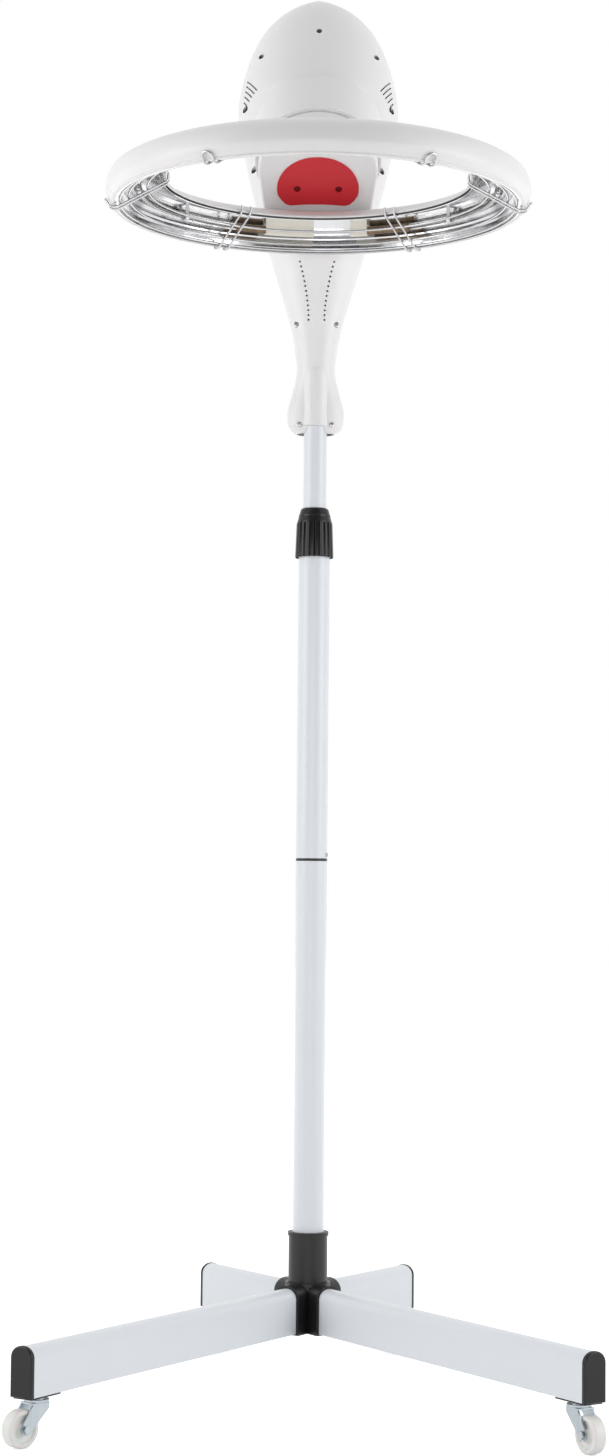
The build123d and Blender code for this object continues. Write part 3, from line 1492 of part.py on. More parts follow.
ceramic_parts = [ring_arc(ceramic_section.sketch, *ceramic_spans[side], side) for side in heater_sides]
ceramic_parts += [
    ring_arc(ceramic_section.sketch, front_cap_end, front_ceramic_end, side) for side in heater_sides
]
with BuildPart() as ceramic_blocks:
    for piece in ceramic_parts:
        add(piece)
ceramic_blocks.part.label = "ceramic_blocks"
export_step(ceramic_blocks.part, "parts/ceramic_blocks.step")

# Sheet clips that hang the quartz tubes from the reflector.
with BuildPart() as heater_clips:
    for side in heater_sides:
        for angle in heater_clip_angles:
            with BuildSketch(ring_plane(rear_angle + side * angle)):
                with Locations((heater_radius, heater_rise)):
                    Circle(quartz_radius + heater_clip_sheet)
                stem_bottom = heater_rise + quartz_radius
                with Locations((heater_radius - heater_clip_stem, (stem_bottom + hanger_top) / 2 - 0.6)):
                    Rectangle(heater_clip_sheet, hanger_top - stem_bottom + 1.2)
                with Locations((heater_radius, heater_rise)):
                    Circle(quartz_radius + 0.05, mode=Mode.SUBTRACT)
            extrude(amount=heater_clip_width / 2, both=True)
heater_clips.part.label = "heater_clips"
export_step(heater_clips.part, "parts/heater_clips.step")

# ------------------------------------------------------------------ wire guard
# Hairpins hook over both lips; three rings lie on them inside the mouth.
guard_low = Vector(outer_lip + 1.9, -1.9)
guard_turn = Vector(outer_lip - 5.0, -1.9)
guard_high = Vector(inner_lip - 1.8, inner_lip_rise - 2.2)
guard_slope = (guard_high.Y - guard_turn.Y) / (guard_turn.X - guard_high.X)
guard_angles = [0.0, 60.0, 120.0, 180.0, 240.0, 300.0]
guard_step = 2 * guard_wire_radius * sqrt(1 + guard_slope**2) + 0.05

with BuildPart() as guard_hairpins:
    for angle in guard_angles:
        section = ring_plane(angle)
        route = []
        for side in (-1, 1):
            across = section.z_dir * (side * guard_pair_spacing / 2)
            leg_route = [
                section.from_local_coords((guard_high.X - 0.6, guard_high.Y + guard_hook, 0)) + across,
                section.from_local_coords((guard_high.X, guard_high.Y, 0)) + across,
                section.from_local_coords((guard_turn.X, guard_turn.Y, 0)) + across,
                section.from_local_coords((guard_low.X, guard_low.Y, 0)) + across,
                section.from_local_coords((guard_low.X + 5.6, guard_low.Y + guard_hook, 0)) + across,
            ]
            route += leg_route if side < 0 else leg_route[::-1]
        with BuildLine() as wire:
            FilletPolyline(*route, radius=guard_bend_radius)
        with BuildSketch(Plane(origin=route[0], z_dir=wire.line % 0)):
            Circle(guard_wire_radius)
        sweep(path=wire.line)
guard_hairpins.part.label = "guard_hairpins"
export_step(guard_hairpins.part, "parts/guard_hairpins.step")

with BuildPart() as guard_rings:
    for radius in guard_ring_radii:
        rise = guard_turn.Y + (guard_turn.X - radius) * guard_slope + guard_step
        with BuildSketch(ring_plane(0)):
            with Locations((radius, rise)):
                Circle(guard_wire_radius)
        revolve(axis=ring_axis)
guard_rings.part.label = "guard_rings"
export_step(guard_rings.part, "parts/guard_rings.step")
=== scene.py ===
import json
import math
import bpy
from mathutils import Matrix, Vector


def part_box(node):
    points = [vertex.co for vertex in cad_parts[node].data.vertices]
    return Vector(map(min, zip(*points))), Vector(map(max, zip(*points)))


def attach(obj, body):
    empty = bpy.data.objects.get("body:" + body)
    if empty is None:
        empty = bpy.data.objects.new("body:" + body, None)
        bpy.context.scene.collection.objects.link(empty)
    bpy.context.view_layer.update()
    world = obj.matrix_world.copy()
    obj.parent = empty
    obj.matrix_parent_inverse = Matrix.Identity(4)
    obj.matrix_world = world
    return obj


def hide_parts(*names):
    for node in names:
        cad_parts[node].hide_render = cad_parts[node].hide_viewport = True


bl_info = {
    "name": "Halo Hair Processor",
    "version": (1, 0, 0),
    "blender": (4, 5, 0),
    "location": "3D View > Sidebar > Halo",
    "description": "Dresses a floor-standing halo hair processor with its modelled pieces, finishes and stage",
    "category": "Object",
}

import bpy
from bpy.props import FloatProperty, FloatVectorProperty, IntProperty, PointerProperty
from bpy.types import Operator, Panel, PropertyGroup
from mathutils import Matrix, Vector

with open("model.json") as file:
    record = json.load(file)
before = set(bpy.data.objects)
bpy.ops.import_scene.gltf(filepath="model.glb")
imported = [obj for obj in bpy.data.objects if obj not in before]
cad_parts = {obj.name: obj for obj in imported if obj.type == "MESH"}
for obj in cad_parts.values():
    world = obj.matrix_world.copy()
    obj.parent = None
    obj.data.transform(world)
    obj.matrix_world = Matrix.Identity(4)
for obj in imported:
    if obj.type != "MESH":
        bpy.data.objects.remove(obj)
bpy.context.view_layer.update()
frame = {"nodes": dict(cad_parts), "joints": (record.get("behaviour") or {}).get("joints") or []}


# ---------------------------------------------------------------- settings
def colour(name, description, default):
    return FloatVectorProperty(
        name=name, description=description, default=default, subtype="COLOR", size=3, min=0.0, max=1.0
    )


def length(name, description, default):
    return FloatProperty(name=name, description=description, default=default, unit="LENGTH", subtype="DISTANCE")


class HaloFinishes(PropertyGroup):
    """Colours of the paints, plastics and metals"""

    shell_white: colour("Shell", "Satin moulded plastic of the head, arm and ring", (0.765, 0.755, 0.755))
    tube_white: colour("Tubes", "Powder coat of the post and legs", (0.7, 0.73, 0.765))
    black: colour("Black plastic", "Hub, knob and end caps", (0.012, 0.012, 0.013))
    nylon: colour("Nylon", "Caster wheels", (0.76, 0.76, 0.74))
    zinc: colour("Zinc", "Pressed caster forks", (0.46, 0.51, 0.54))
    sensor_red: colour("Sensor window", "Red filter in the turret arm", (0.58, 0.026, 0.036))
    ceramic: colour("Ceramic", "Blocks that hold the heaters", (0.88, 0.84, 0.74))
    sleeve: colour("Heater sleeve", "Heat-stained metal at the ends of the quartz", (0.23, 0.16, 0.1))


class HaloSizes(PropertyGroup):
    """Sizes of the modelled pieces, in metres"""

    ring_bulge: length("Ring bulge", "How far the ring's side swells beyond its outer lip", 0.0068)
    ring_width: length("Ring width", "From the outer lip to the inner lip", 0.055)
    ring_wall: length("Ring wall", "Thickness of the moulded ring", 0.0025)
    lip_bead: length("Lip bead", "Radius of the rolled edge of the ring's lips", 0.0013)
    knob_ribs: IntProperty(name="Knob ribs", description="Ribs round the clamp knob", default=22, min=8)
    knob_groove: length("Knob groove", "Depth of the grooves between the ribs", 0.0015)
    tube_radius: length("Tube circle", "Radius of the circle that the quartz tubes follow", 0.186)
    coil_radius: length("Coil", "Radius of the wound wire", 0.0019)
    coil_wire: length("Coil wire", "Half the thickness of the wound wire", 0.00035)
    coil_pitch: length("Coil pitch", "Spacing of the turns", 0.0021)
    left_coil_start: FloatProperty(name="Left coil start", description="Degrees from the ring's rear", default=28.4)
    right_coil_start: FloatProperty(name="Right coil start", description="Degrees from the ring's rear", default=33.0)
    coil_end: FloatProperty(name="Coil end", description="Degrees from the ring's rear", default=148.0)
    wheel_radius: length("Wheel radius", "Radius of the caster wheels", 0.0185)
    wheel_width: length("Wheel width", "Width of the tread", 0.014)
    wheel_hub: length("Wheel hub", "Radius of the wheel's hub", 0.006)
    wheel_bore: length("Wheel bore", "Radius of the wheel's bore", 0.00258)
    screw_head: length("Screw head", "Radius of the shell screws' heads", 0.003)
    screw_head_rise: length("Screw head rise", "Height of the shell screws' heads", 0.0024)


class HaloLighting(PropertyGroup):
    """Lamps and backdrop of the studio"""

    front_power: FloatProperty(name="Front", description="Power of the low front lamp", default=8.0, subtype="POWER")
    side_power: FloatProperty(name="Sides", description="Power of the two side lamps", default=23.0, subtype="POWER")
    horizon_level: FloatProperty(name="Horizon", description="Level of the surround at eye height", default=0.84, min=0.0)
    zenith_level: FloatProperty(name="Zenith", description="Level of the surround overhead", default=1.0, min=0.0)
    card_width: length("Card width", "Width of the dark card above the camera", 4.6)
    card_height: length("Card height", "Height of the dark card above the camera", 3.4)
    roll: FloatProperty(name="Roll", description="Turn of the camera about its view", default=math.radians(0.53), subtype="ANGLE")
    lens: FloatProperty(name="Lens", description="Focal length of the camera", default=68.3, subtype="DISTANCE_CAMERA")


# ---------------------------------------------------------------- shader groups
def new_group(name, inputs, outputs):
    """Empty node group with named sockets; returns the group, its input node and its output node."""
    tree = bpy.data.node_groups.new(name, "ShaderNodeTree")
    for label, kind, default in inputs:
        socket = tree.interface.new_socket(name=label, in_out="INPUT", socket_type="NodeSocket" + kind)
        if default is not None:
            socket.default_value = default
    for label, kind in outputs:
        tree.interface.new_socket(name=label, in_out="OUTPUT", socket_type="NodeSocket" + kind)
    return tree, tree.nodes.new("NodeGroupInput"), tree.nodes.new("NodeGroupOutput")


def node(tree, kind, **values):
    """Node of that kind with its properties and inputs set."""
    made = tree.nodes.new("ShaderNode" + kind)
    for key, value in values.items():
        if hasattr(made, key) and key not in made.inputs:
            setattr(made, key, value)
        else:
            made.inputs[key.replace("_", " ")].default_value = value
    return made


def scaled(tree, vector, size):
    """Vector divided by a size in metres."""
    divide = node(tree, "VectorMath", operation="SCALE")
    inverse = node(tree, "Math", operation="DIVIDE")
    inverse.inputs[0].default_value = 1.0
    tree.links.new(size, inverse.inputs[1])
    tree.links.new(vector, divide.inputs[0])
    tree.links.new(inverse.outputs[0], divide.inputs["Scale"])
    return divide.outputs[0]


def grain_group():
    """Fine moulded grain and a broad mottle."""
    tree, given, out = new_group(
        "moulded_grain",
        [("Vector", "Vector", None), ("Grain Size", "Float", 0.0009), ("Mottle Size", "Float", 0.06)],
        [("Grain", "Float"), ("Mottle", "Float")],
    )
    for label, socket, detail in (("Grain", "Grain Size", 2.0), ("Mottle", "Mottle Size", 3.0)):
        noise = node(tree, "TexNoise", Scale=1.0, Detail=detail, Roughness=0.55)
        tree.links.new(scaled(tree, given.outputs["Vector"], given.outputs[socket]), noise.inputs["Vector"])
        tree.links.new(noise.outputs["Fac"], out.inputs[label])
    return tree


def dust_group():
    """Light dust that settles on faces that look up."""
    tree, given, out = new_group(
        "settled_dust",
        [("Vector", "Vector", None), ("Normal", "Vector", None), ("Amount", "Float", 0.2)],
        [("Mask", "Float")],
    )
    split = node(tree, "SeparateXYZ")
    upward = node(tree, "MapRange", interpolation_type="SMOOTHSTEP")
    upward.inputs["From Min"].default_value = 0.25
    upward.inputs["From Max"].default_value = 1.0
    noise = node(tree, "TexNoise", Scale=38.0, Detail=4.0, Roughness=0.7)
    patch = node(tree, "Math", operation="MULTIPLY")
    amount = node(tree, "Math", operation="MULTIPLY")
    tree.links.new(given.outputs["Normal"], split.inputs[0])
    tree.links.new(split.outputs["Z"], upward.inputs["Value"])
    tree.links.new(given.outputs["Vector"], noise.inputs["Vector"])
    tree.links.new(upward.outputs[0], patch.inputs[0])
    tree.links.new(noise.outputs["Fac"], patch.inputs[1])
    tree.links.new(patch.outputs[0], amount.inputs[0])
    tree.links.new(given.outputs["Amount"], amount.inputs[1])
    tree.links.new(amount.outputs[0], out.inputs["Mask"])
    return tree


def scratch_group():
    """Hair-fine rubbing marks, long along one direction of the vector it is given."""
    tree, given, out = new_group(
        "rubbing_marks",
        [("Vector", "Vector", None), ("Stretch", "Vector", (1.0, 1.0, 0.03)), ("Spacing", "Float", 0.0006)],
        [("Marks", "Float"), ("Streaks", "Float")],
    )
    squeeze = node(tree, "VectorMath", operation="MULTIPLY")
    tree.links.new(given.outputs["Vector"], squeeze.inputs[0])
    tree.links.new(given.outputs["Stretch"], squeeze.inputs[1])
    fine = node(tree, "TexNoise", Scale=1.0, Detail=3.0, Roughness=0.6)
    tree.links.new(scaled(tree, squeeze.outputs[0], given.outputs["Spacing"]), fine.inputs["Vector"])
    broad = node(tree, "TexNoise", Scale=90.0, Detail=4.0, Roughness=0.75)
    tree.links.new(squeeze.outputs[0], broad.inputs["Vector"])
    tree.links.new(fine.outputs["Fac"], out.inputs["Marks"])
    tree.links.new(broad.outputs["Fac"], out.inputs["Streaks"])
    return tree


def shared(name, make):
    return bpy.data.node_groups.get(name) or make()


# ---------------------------------------------------------------- materials
def start_material(name, base, roughness, metallic=0.0, **shader_values):
    """Material with a Principled shader on it; returns the material, tree, shader and coordinates."""
    material = bpy.data.materials.new(name)
    material.use_nodes = True
    tree = material.node_tree
    shader = tree.nodes["Principled BSDF"]
    shader.inputs["Base Color"].default_value = (*base, 1.0)
    shader.inputs["Roughness"].default_value = roughness
    shader.inputs["Metallic"].default_value = metallic
    for key, value in shader_values.items():
        shader.inputs[key.replace("_", " ")].default_value = value
    return material, tree, shader, node(tree, "TexCoord")


def blend_colour(tree, factor, first, second):
    """Mix of two colours, each a socket or an RGB value, by a factor socket."""
    mix = node(tree, "Mix", data_type="RGBA")
    tree.links.new(factor, mix.inputs["Factor"])
    for socket, value in (("A", first), ("B", second)):
        target = [entry for entry in mix.inputs if entry.name == socket and entry.type == "RGBA"][0]
        if isinstance(value, (tuple, list)):
            target.default_value = (*value, 1.0)
        else:
            tree.links.new(value, target)
    return [entry for entry in mix.outputs if entry.type == "RGBA"][0]


def spread(tree, factor, low, high, start=0.35, end=0.65):
    """Number between low and high as the factor goes from start to end."""
    ramp = node(tree, "MapRange")
    for label, value in (("From Min", start), ("From Max", end), ("To Min", low), ("To Max", high)):
        ramp.inputs[label].default_value = value
    tree.links.new(factor, ramp.inputs["Value"])
    return ramp.outputs[0]


def moulded(name, base, roughness, grain=0.0009, depth=0.02, dust=0.15, shift=0.04, **shader_values):
    """Moulded plastic or paint: fine grain, broad tone changes and settled dust."""
    material, tree, shader, place = start_material(name, base, roughness, **shader_values)
    grains = node(tree, "Group", node_tree=shared("moulded_grain", grain_group))
    grains.inputs["Grain Size"].default_value = grain
    tree.links.new(place.outputs["Object"], grains.inputs["Vector"])
    dusting = node(tree, "Group", node_tree=shared("settled_dust", dust_group))
    dusting.inputs["Amount"].default_value = dust
    tree.links.new(place.outputs["Object"], dusting.inputs["Vector"])
    tree.links.new(place.outputs["Normal"], dusting.inputs["Normal"])
    darker = tuple(channel * (1.0 - shift) for channel in base)
    tone = blend_colour(tree, spread(tree, grains.outputs["Mottle"], 0.0, 1.0, 0.15, 0.85), darker, tuple(base))
    dusty = tuple(channel * 0.5 + 0.3 for channel in base)
    tree.links.new(blend_colour(tree, dusting.outputs["Mask"], tone, dusty), shader.inputs["Base Color"])
    rough = spread(tree, grains.outputs["Mottle"], roughness * 0.96, min(1.0, roughness * 1.05), 0.15, 0.85)
    tree.links.new(rough, shader.inputs["Roughness"])
    bump = node(tree, "Bump", Strength=depth, Distance=0.0004)
    tree.links.new(grains.outputs["Grain"], bump.inputs["Height"])
    tree.links.new(bump.outputs[0], shader.inputs["Normal"])
    return material


def metal(name, base, roughness, stretch=(1.0, 1.0, 0.05), spacing=0.0006, depth=0.03, shift=0.12, **shader_values):
    """Bare or plated metal with rubbing marks along one direction."""
    material, tree, shader, place = start_material(name, base, roughness, 1.0, **shader_values)
    marks = node(tree, "Group", node_tree=shared("rubbing_marks", scratch_group))
    marks.inputs["Stretch"].default_value = stretch
    marks.inputs["Spacing"].default_value = spacing
    tree.links.new(place.outputs["Object"], marks.inputs["Vector"])
    darker = tuple(channel * (1.0 - shift) for channel in base)
    tone = blend_colour(tree, spread(tree, marks.outputs["Streaks"], 0.0, 1.0), darker, tuple(base))
    tree.links.new(tone, shader.inputs["Base Color"])
    rough = spread(tree, marks.outputs["Marks"], roughness * 0.75, min(1.0, roughness * 1.3))
    tree.links.new(rough, shader.inputs["Roughness"])
    bump = node(tree, "Bump", Strength=depth, Distance=0.0002)
    tree.links.new(marks.outputs["Marks"], bump.inputs["Height"])
    tree.links.new(bump.outputs[0], shader.inputs["Normal"])
    return material


def material_named(name):
    return bpy.data.materials.get(name) or FINISHES[name](bpy.context.scene.halo_finishes)


FINISHES = {
    "satin_shell": lambda f: moulded("satin_shell", f.shell_white, 0.36, depth=0.012, shift=0.015, dust=0.06),
    "powder_coat": lambda f: moulded("powder_coat", f.tube_white, 0.3, grain=0.0012, depth=0.02, shift=0.012, dust=0.05),
    "black_moulding": lambda f: moulded(
        "black_moulding", f.black, 0.36, grain=0.0007, depth=0.04, dust=0.01, Specular_IOR_Level=0.35
    ),
    "gloss_black": lambda f: moulded(
        "gloss_black", f.black, 0.25, grain=0.0012, depth=0.02, dust=0.0, Specular_IOR_Level=0.3
    ),
    "milky_nylon": lambda f: moulded(
        "milky_nylon", f.nylon, 0.38, grain=0.0008, depth=0.03, Subsurface_Weight=0.3, Subsurface_Scale=0.004
    ),
    "zinc_plate": lambda f: metal("zinc_plate", f.zinc, 0.34),
    "turned_steel": lambda f: metal("turned_steel", (0.55, 0.55, 0.56), 0.28),
    # Painted shade: the wire's base colour is held dark so that it reads like wire reflecting dim surroundings, since
    # the surround shows white in every reflection.
    "bright_wire": lambda f: metal("bright_wire", (0.5, 0.5, 0.51), 0.22, depth=0.01),
    # Painted shade: the reflector's base colour is held darker than polished aluminium, standing in for the dark
    # surroundings it reflects.
    "mirror_aluminium": lambda f: metal("mirror_aluminium", (0.66, 0.66, 0.67), 0.15, depth=0.003, shift=0.03),
    "cast_metal": lambda f: metal("cast_metal", (0.6, 0.6, 0.61), 0.45, stretch=(1.0, 1.0, 1.0), spacing=0.001),
    "red_filter": lambda f: moulded(
        "red_filter", f.sensor_red, 0.34, grain=0.001, depth=0.01, dust=0.0, Specular_IOR_Level=0.25
    ),
    "dark_lens": lambda f: moulded("dark_lens", (0.16, 0.004, 0.006), 0.3, dust=0.0, Specular_IOR_Level=0.2),
    "fired_ceramic": lambda f: moulded("fired_ceramic", f.ceramic, 0.62, grain=0.0005, depth=0.12),
    "stained_sleeve": lambda f: metal("stained_sleeve", f.sleeve, 0.42, shift=0.5),
    "resistance_wire": lambda f: metal("resistance_wire", (0.05, 0.047, 0.045), 0.6),
    "acetal": lambda f: moulded("acetal", (0.72, 0.7, 0.62), 0.45),
    "panel_grey": lambda f: moulded("panel_grey", (0.09, 0.095, 0.105), 0.4, depth=0.05, dust=0.03),
    "tinted_window": lambda f: moulded("tinted_window", (0.008, 0.009, 0.012), 0.08, depth=0.0, dust=0.0),
    "lacquered_board": lambda f: moulded("lacquered_board", (0.02, 0.12, 0.05), 0.3),
    "satin_key": lambda f: moulded("satin_key", (0.7, 0.71, 0.72), 0.36),
    "red_rocker": lambda f: moulded("red_rocker", (0.42, 0.015, 0.015), 0.25, dust=0.03),
    "clear_quartz": lambda f: quartz("clear_quartz"),
}


def quartz(name):
    """Clear quartz tube."""
    material, tree, shader, place = start_material(name, (0.93, 0.93, 0.92), 0.06)
    shader.inputs["Transmission Weight"].default_value = 1.0
    shader.inputs["IOR"].default_value = 1.46
    noise = node(tree, "TexNoise", Scale=60.0, Detail=3.0)
    tree.links.new(place.outputs["Object"], noise.inputs["Vector"])
    tree.links.new(spread(tree, noise.outputs["Fac"], 0.03, 0.1), shader.inputs["Roughness"])
    return material


CAD_FINISHES = {
    "satin_shell": ["front_shell", "rear_shell", "ring_shell", "turret_arm", "arm_cover"],
    "powder_coat": [
        "front_left_leg", "front_right_leg", "rear_left_leg", "rear_right_leg",
        "lower_post", "middle_post", "mast_tube",
    ],
    "black_moulding": ["base_hub", "clamp_knob", "post_coupler", "glide_bush", "panel_bezel", "switch_housing", "power_inlet"],
    "gloss_black": ["leg_end_caps"],
    "milky_nylon": [
        "clamp_collet", "caster_wheel_front_left", "caster_wheel_front_right",
        "caster_wheel_rear_left", "caster_wheel_rear_right",
    ],
    "zinc_plate": [
        "caster_stems", "caster_fork_front_left", "caster_fork_front_right",
        "caster_fork_rear_left", "caster_fork_rear_right",
    ],
    "turned_steel": [
        "leg_screws", "coupler_screw", "post_base_bolt", "shell_screws", "board_screws",
        "turret_bearings", "turret_shaft", "drive_motor", "inlet_pins", "heater_clips",
    ],
    "cast_metal": ["lock_collar", "head_frame"],
    "acetal": ["drive_pinion", "orbit_gear"],
    "panel_grey": ["panel_facia"],
    "tinted_window": ["display_window"],
    "lacquered_board": ["control_board"],
    "satin_key": ["less_key", "start_key", "more_key"],
    "red_rocker": ["switch_rocker"],
    "red_filter": ["sensor_window"],
    "dark_lens": ["heat_sensors"],
    "mirror_aluminium": ["reflector"],
    "clear_quartz": ["heater_tubes"],
    "resistance_wire": ["heater_coils"],
    "stained_sleeve": ["heater_end_caps"],
    "fired_ceramic": ["ceramic_blocks"],
    "bright_wire": ["guard_hairpins", "guard_rings"],
}


def paint(piece, name):
    """Gives a piece that material in its only slot."""
    piece.data.materials.clear()
    piece.data.materials.append(material_named(name))


# ---------------------------------------------------------------- modelling
def start_clean():
    """Object mode with nothing selected."""
    if bpy.context.mode != "OBJECT":
        bpy.ops.object.mode_set(mode="OBJECT")
    bpy.ops.object.select_all(action="DESELECT")


def pick(piece, test, kind="polygons"):
    """In object mode, selects the faces or edges of a piece that pass a test, and opens edit mode."""
    mesh = piece.data
    bpy.ops.object.mode_set(mode="OBJECT")
    for entries in (mesh.vertices, mesh.edges, mesh.polygons):
        entries.foreach_set("select", [False] * len(entries))
    for entry in getattr(mesh, kind):
        if test(entry):
            entry.select = True
    mesh.update()
    bpy.ops.object.mode_set(mode="EDIT")
    bpy.ops.mesh.select_mode(type={"polygons": "FACE", "edges": "EDGE", "vertices": "VERT"}[kind])


def apply_modifier(piece, kind, **values):
    """Adds a modifier with those values and applies it."""
    made = piece.modifiers.new(kind.lower(), kind)
    for key, value in values.items():
        setattr(made, key, value)
    bpy.context.view_layer.objects.active = piece
    bpy.ops.object.modifier_apply(modifier=made.name)


def settle(piece, matrix=None, sharp=30.0):
    """Applies the piece's place to its mesh and shades it."""
    start_clean()
    bpy.context.view_layer.objects.active = piece
    piece.select_set(True)
    if matrix is not None:
        piece.matrix_world = matrix
    bpy.ops.object.transform_apply(location=True, rotation=True, scale=True)
    bpy.ops.object.shade_smooth_by_angle(angle=math.radians(sharp))
    return piece


def dress(piece, body, slot, finish, *nodes):
    """Rides the piece on its body, gives it its finish, and hides the frame nodes it stands for. The slot argument is
    not used.
    """
    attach(piece, body)
    if nodes:
        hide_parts(*nodes)
    paint(piece, finish)
    return piece


def draw_profile(name, profile, closed=True):
    """Line of (radius, height) points in the XZ plane, drawn point by point, left in edit mode."""
    start_clean()
    bpy.ops.mesh.primitive_plane_add(size=0.002, location=(0.0, 0.0, 0.0))
    piece = bpy.context.object
    piece.name = piece.data.name = name
    bpy.ops.object.mode_set(mode="EDIT")
    bpy.ops.mesh.select_mode(type="VERT")
    bpy.ops.mesh.select_all(action="SELECT")
    bpy.ops.mesh.merge(type="CENTER")
    bpy.ops.transform.translate(value=(profile[0][0], 0.0, profile[0][1]))
    for (r0, z0), (r1, z1) in zip(profile, profile[1:]):
        bpy.ops.mesh.extrude_region_move(TRANSFORM_OT_translate={"value": (r1 - r0, 0.0, z1 - z0)})
    if closed:
        bpy.ops.object.mode_set(mode="OBJECT")
        last = len(piece.data.vertices) - 1
        pick(piece, lambda vertex: vertex.index in (0, last), "vertices")
        bpy.ops.mesh.edge_face_add()
    bpy.ops.mesh.select_all(action="SELECT")
    return piece


def turned(name, profile, steps, closed=True, angle=360.0, start=0.0):
    """Piece turned round the Z axis from a profile of (radius, height) points, left in object mode."""
    piece = draw_profile(name, profile, closed)
    if start:
        bpy.ops.transform.rotate(value=-math.radians(start), orient_axis="Z", center_override=(0.0, 0.0, 0.0))
    bpy.ops.mesh.spin(steps=steps, angle=math.radians(angle), center=(0.0, 0.0, 0.0), axis=(0.0, 0.0, 1.0))
    bpy.ops.mesh.select_all(action="SELECT")
    bpy.ops.mesh.remove_doubles(threshold=0.000002)
    bpy.ops.mesh.normals_make_consistent(inside=False)
    bpy.ops.object.mode_set(mode="OBJECT")
    return piece


def smooth_line(points, count):
    """Points of a smooth line through the given ones, count to each span."""
    ends = [points[0], *points, points[-1]]
    line = []
    for a, b, c, d in zip(ends, ends[1:], ends[2:], ends[3:]):
        for index in range(count):
            t = index / count
            line.append(
                tuple(
                    0.5 * (2 * q + (r - p) * t + (2 * p - 5 * q + 4 * r - s) * t * t + (3 * q - p - 3 * r + s) * t**3)
                    for p, q, r, s in zip(a, b, c, d)
                )
            )
    return line + [tuple(points[-1])]


def copied(piece, name, matrix):
    """Copy of a piece with its own mesh, moved by a matrix that is applied to it."""
    mesh = piece.data.copy()
    mesh.transform(matrix)
    made = bpy.data.objects.new(name, mesh)
    mesh.name = name
    bpy.context.scene.collection.objects.link(made)
    return made


# ---------------------------------------------------------------- modelled pieces
def joint_named(name):
    return next(joint for joint in frame["joints"] if joint["name"] == name)


def middle(node_name):
    low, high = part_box(node_name)
    return (low + high) / 2


def split_places(node_name, reach=0.008):
    """Middle x and z and front y of each separate solid of a node, told apart by how far they lie from each other."""
    groups = []
    for vertex in frame["nodes"][node_name].data.vertices:
        x, y, z = vertex.co
        for group in groups:
            if abs(group[0][0] - x) < reach and abs(group[0][2] - z) < reach:
                group.append((x, y, z))
                break
        else:
            groups.append([(x, y, z)])
    places = []
    for group in groups:
        columns = list(zip(*group))
        places.append(((min(columns[0]) + max(columns[0])) / 2, (min(columns[2]) + max(columns[2])) / 2, min(columns[1])))
    return sorted(places)


def softened(node_name, width, steps=2, angle=32.0, name=None):
    """Welded copy of a frame node with its sharp edges rounded off."""
    start_clean()
    source = frame["nodes"][node_name]
    piece = copied(source, name or node_name + "_rounded", Matrix.Identity(4))
    bpy.context.view_layer.objects.active = piece
    piece.select_set(True)
    bpy.ops.object.mode_set(mode="EDIT")
    bpy.ops.mesh.select_all(action="SELECT")
    bpy.ops.mesh.remove_doubles(threshold=0.00001)
    bpy.ops.mesh.dissolve_limited(angle_limit=math.radians(0.2))
    bpy.ops.mesh.normals_make_consistent(inside=False)
    bpy.ops.object.mode_set(mode="OBJECT")
    apply_modifier(
        piece, "BEVEL", width=width, segments=steps, limit_method="ANGLE", angle_limit=math.radians(angle),
        harden_normals=False, use_clamp_overlap=True,
    )
    settle(piece)
    apply_modifier(piece, "WEIGHTED_NORMAL", weight=80, keep_sharp=True)
    return piece


class HALO_OT_ring(Operator):
    """Turn the ring cover with its dome and rolled lips"""

    bl_idname = "halo.ring"
    bl_label = "Ring cover"

    def execute(self, context):
        sizes = context.scene.halo_sizes
        low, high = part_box("ring_shell")
        reach, rise = (high.x - low.x) / 2, high.z - low.z
        bead, wall = sizes.lip_bead, sizes.ring_wall
        outer = reach - sizes.ring_bulge
        inner = outer - sizes.ring_width
        lift = 0.68 * rise
        dome = [
            (outer + 0.35 * sizes.ring_bulge, 2.6 * bead),
            (reach - 0.00005, 0.33 * rise),
            (outer + 0.2 * sizes.ring_bulge, 0.76 * rise),
            (outer - 0.4 * sizes.ring_width, rise - 0.0001),
            (inner + 0.24 * sizes.ring_width, 0.93 * rise),
            (inner + 0.2 * bead, lift + 1.9 * bead),
        ]
        inside = [
            (inner + wall, lift + bead),
            (inner + 0.27 * sizes.ring_width, 0.93 * rise - wall),
            (outer - 0.4 * sizes.ring_width, rise - wall),
            (outer + 0.12 * sizes.ring_bulge - wall, 0.72 * rise),
            (outer + 0.9 * sizes.ring_bulge - wall, 0.33 * rise),
            (outer - wall, bead),
        ]
        outer_lip = [
            (outer - wall, 0.0001),
            (outer + 0.2 * bead, 0.0001),
            (outer + 1.0 * bead, 0.5 * bead),
            (outer + 1.15 * bead, 1.1 * bead),
            (outer + 0.9 * bead, 1.7 * bead),
            (outer + 0.35 * sizes.ring_bulge - 0.6 * bead, 1.95 * bead),
        ]
        inner_lip = [
            (inner + 0.1 * bead, lift + 1.3 * bead),
            (inner - 0.3 * bead, lift + 0.8 * bead),
            (inner - 0.1 * bead, lift + 0.2 * bead),
            (inner + 0.5 * bead, lift),
            (inner + wall, lift + 0.2 * bead),
        ]
        profile = outer_lip + smooth_line(dome, 7) + inner_lip + smooth_line(inside, 4)
        piece = turned("ring_cover", profile, 192)
        settle(piece, Matrix.Translation((middle("ring_shell").x, middle("ring_shell").y, low.z)), 38.0)
        dress(piece, "orbit", "white_shell", "satin_shell", "ring_shell")
        return {"FINISHED"}


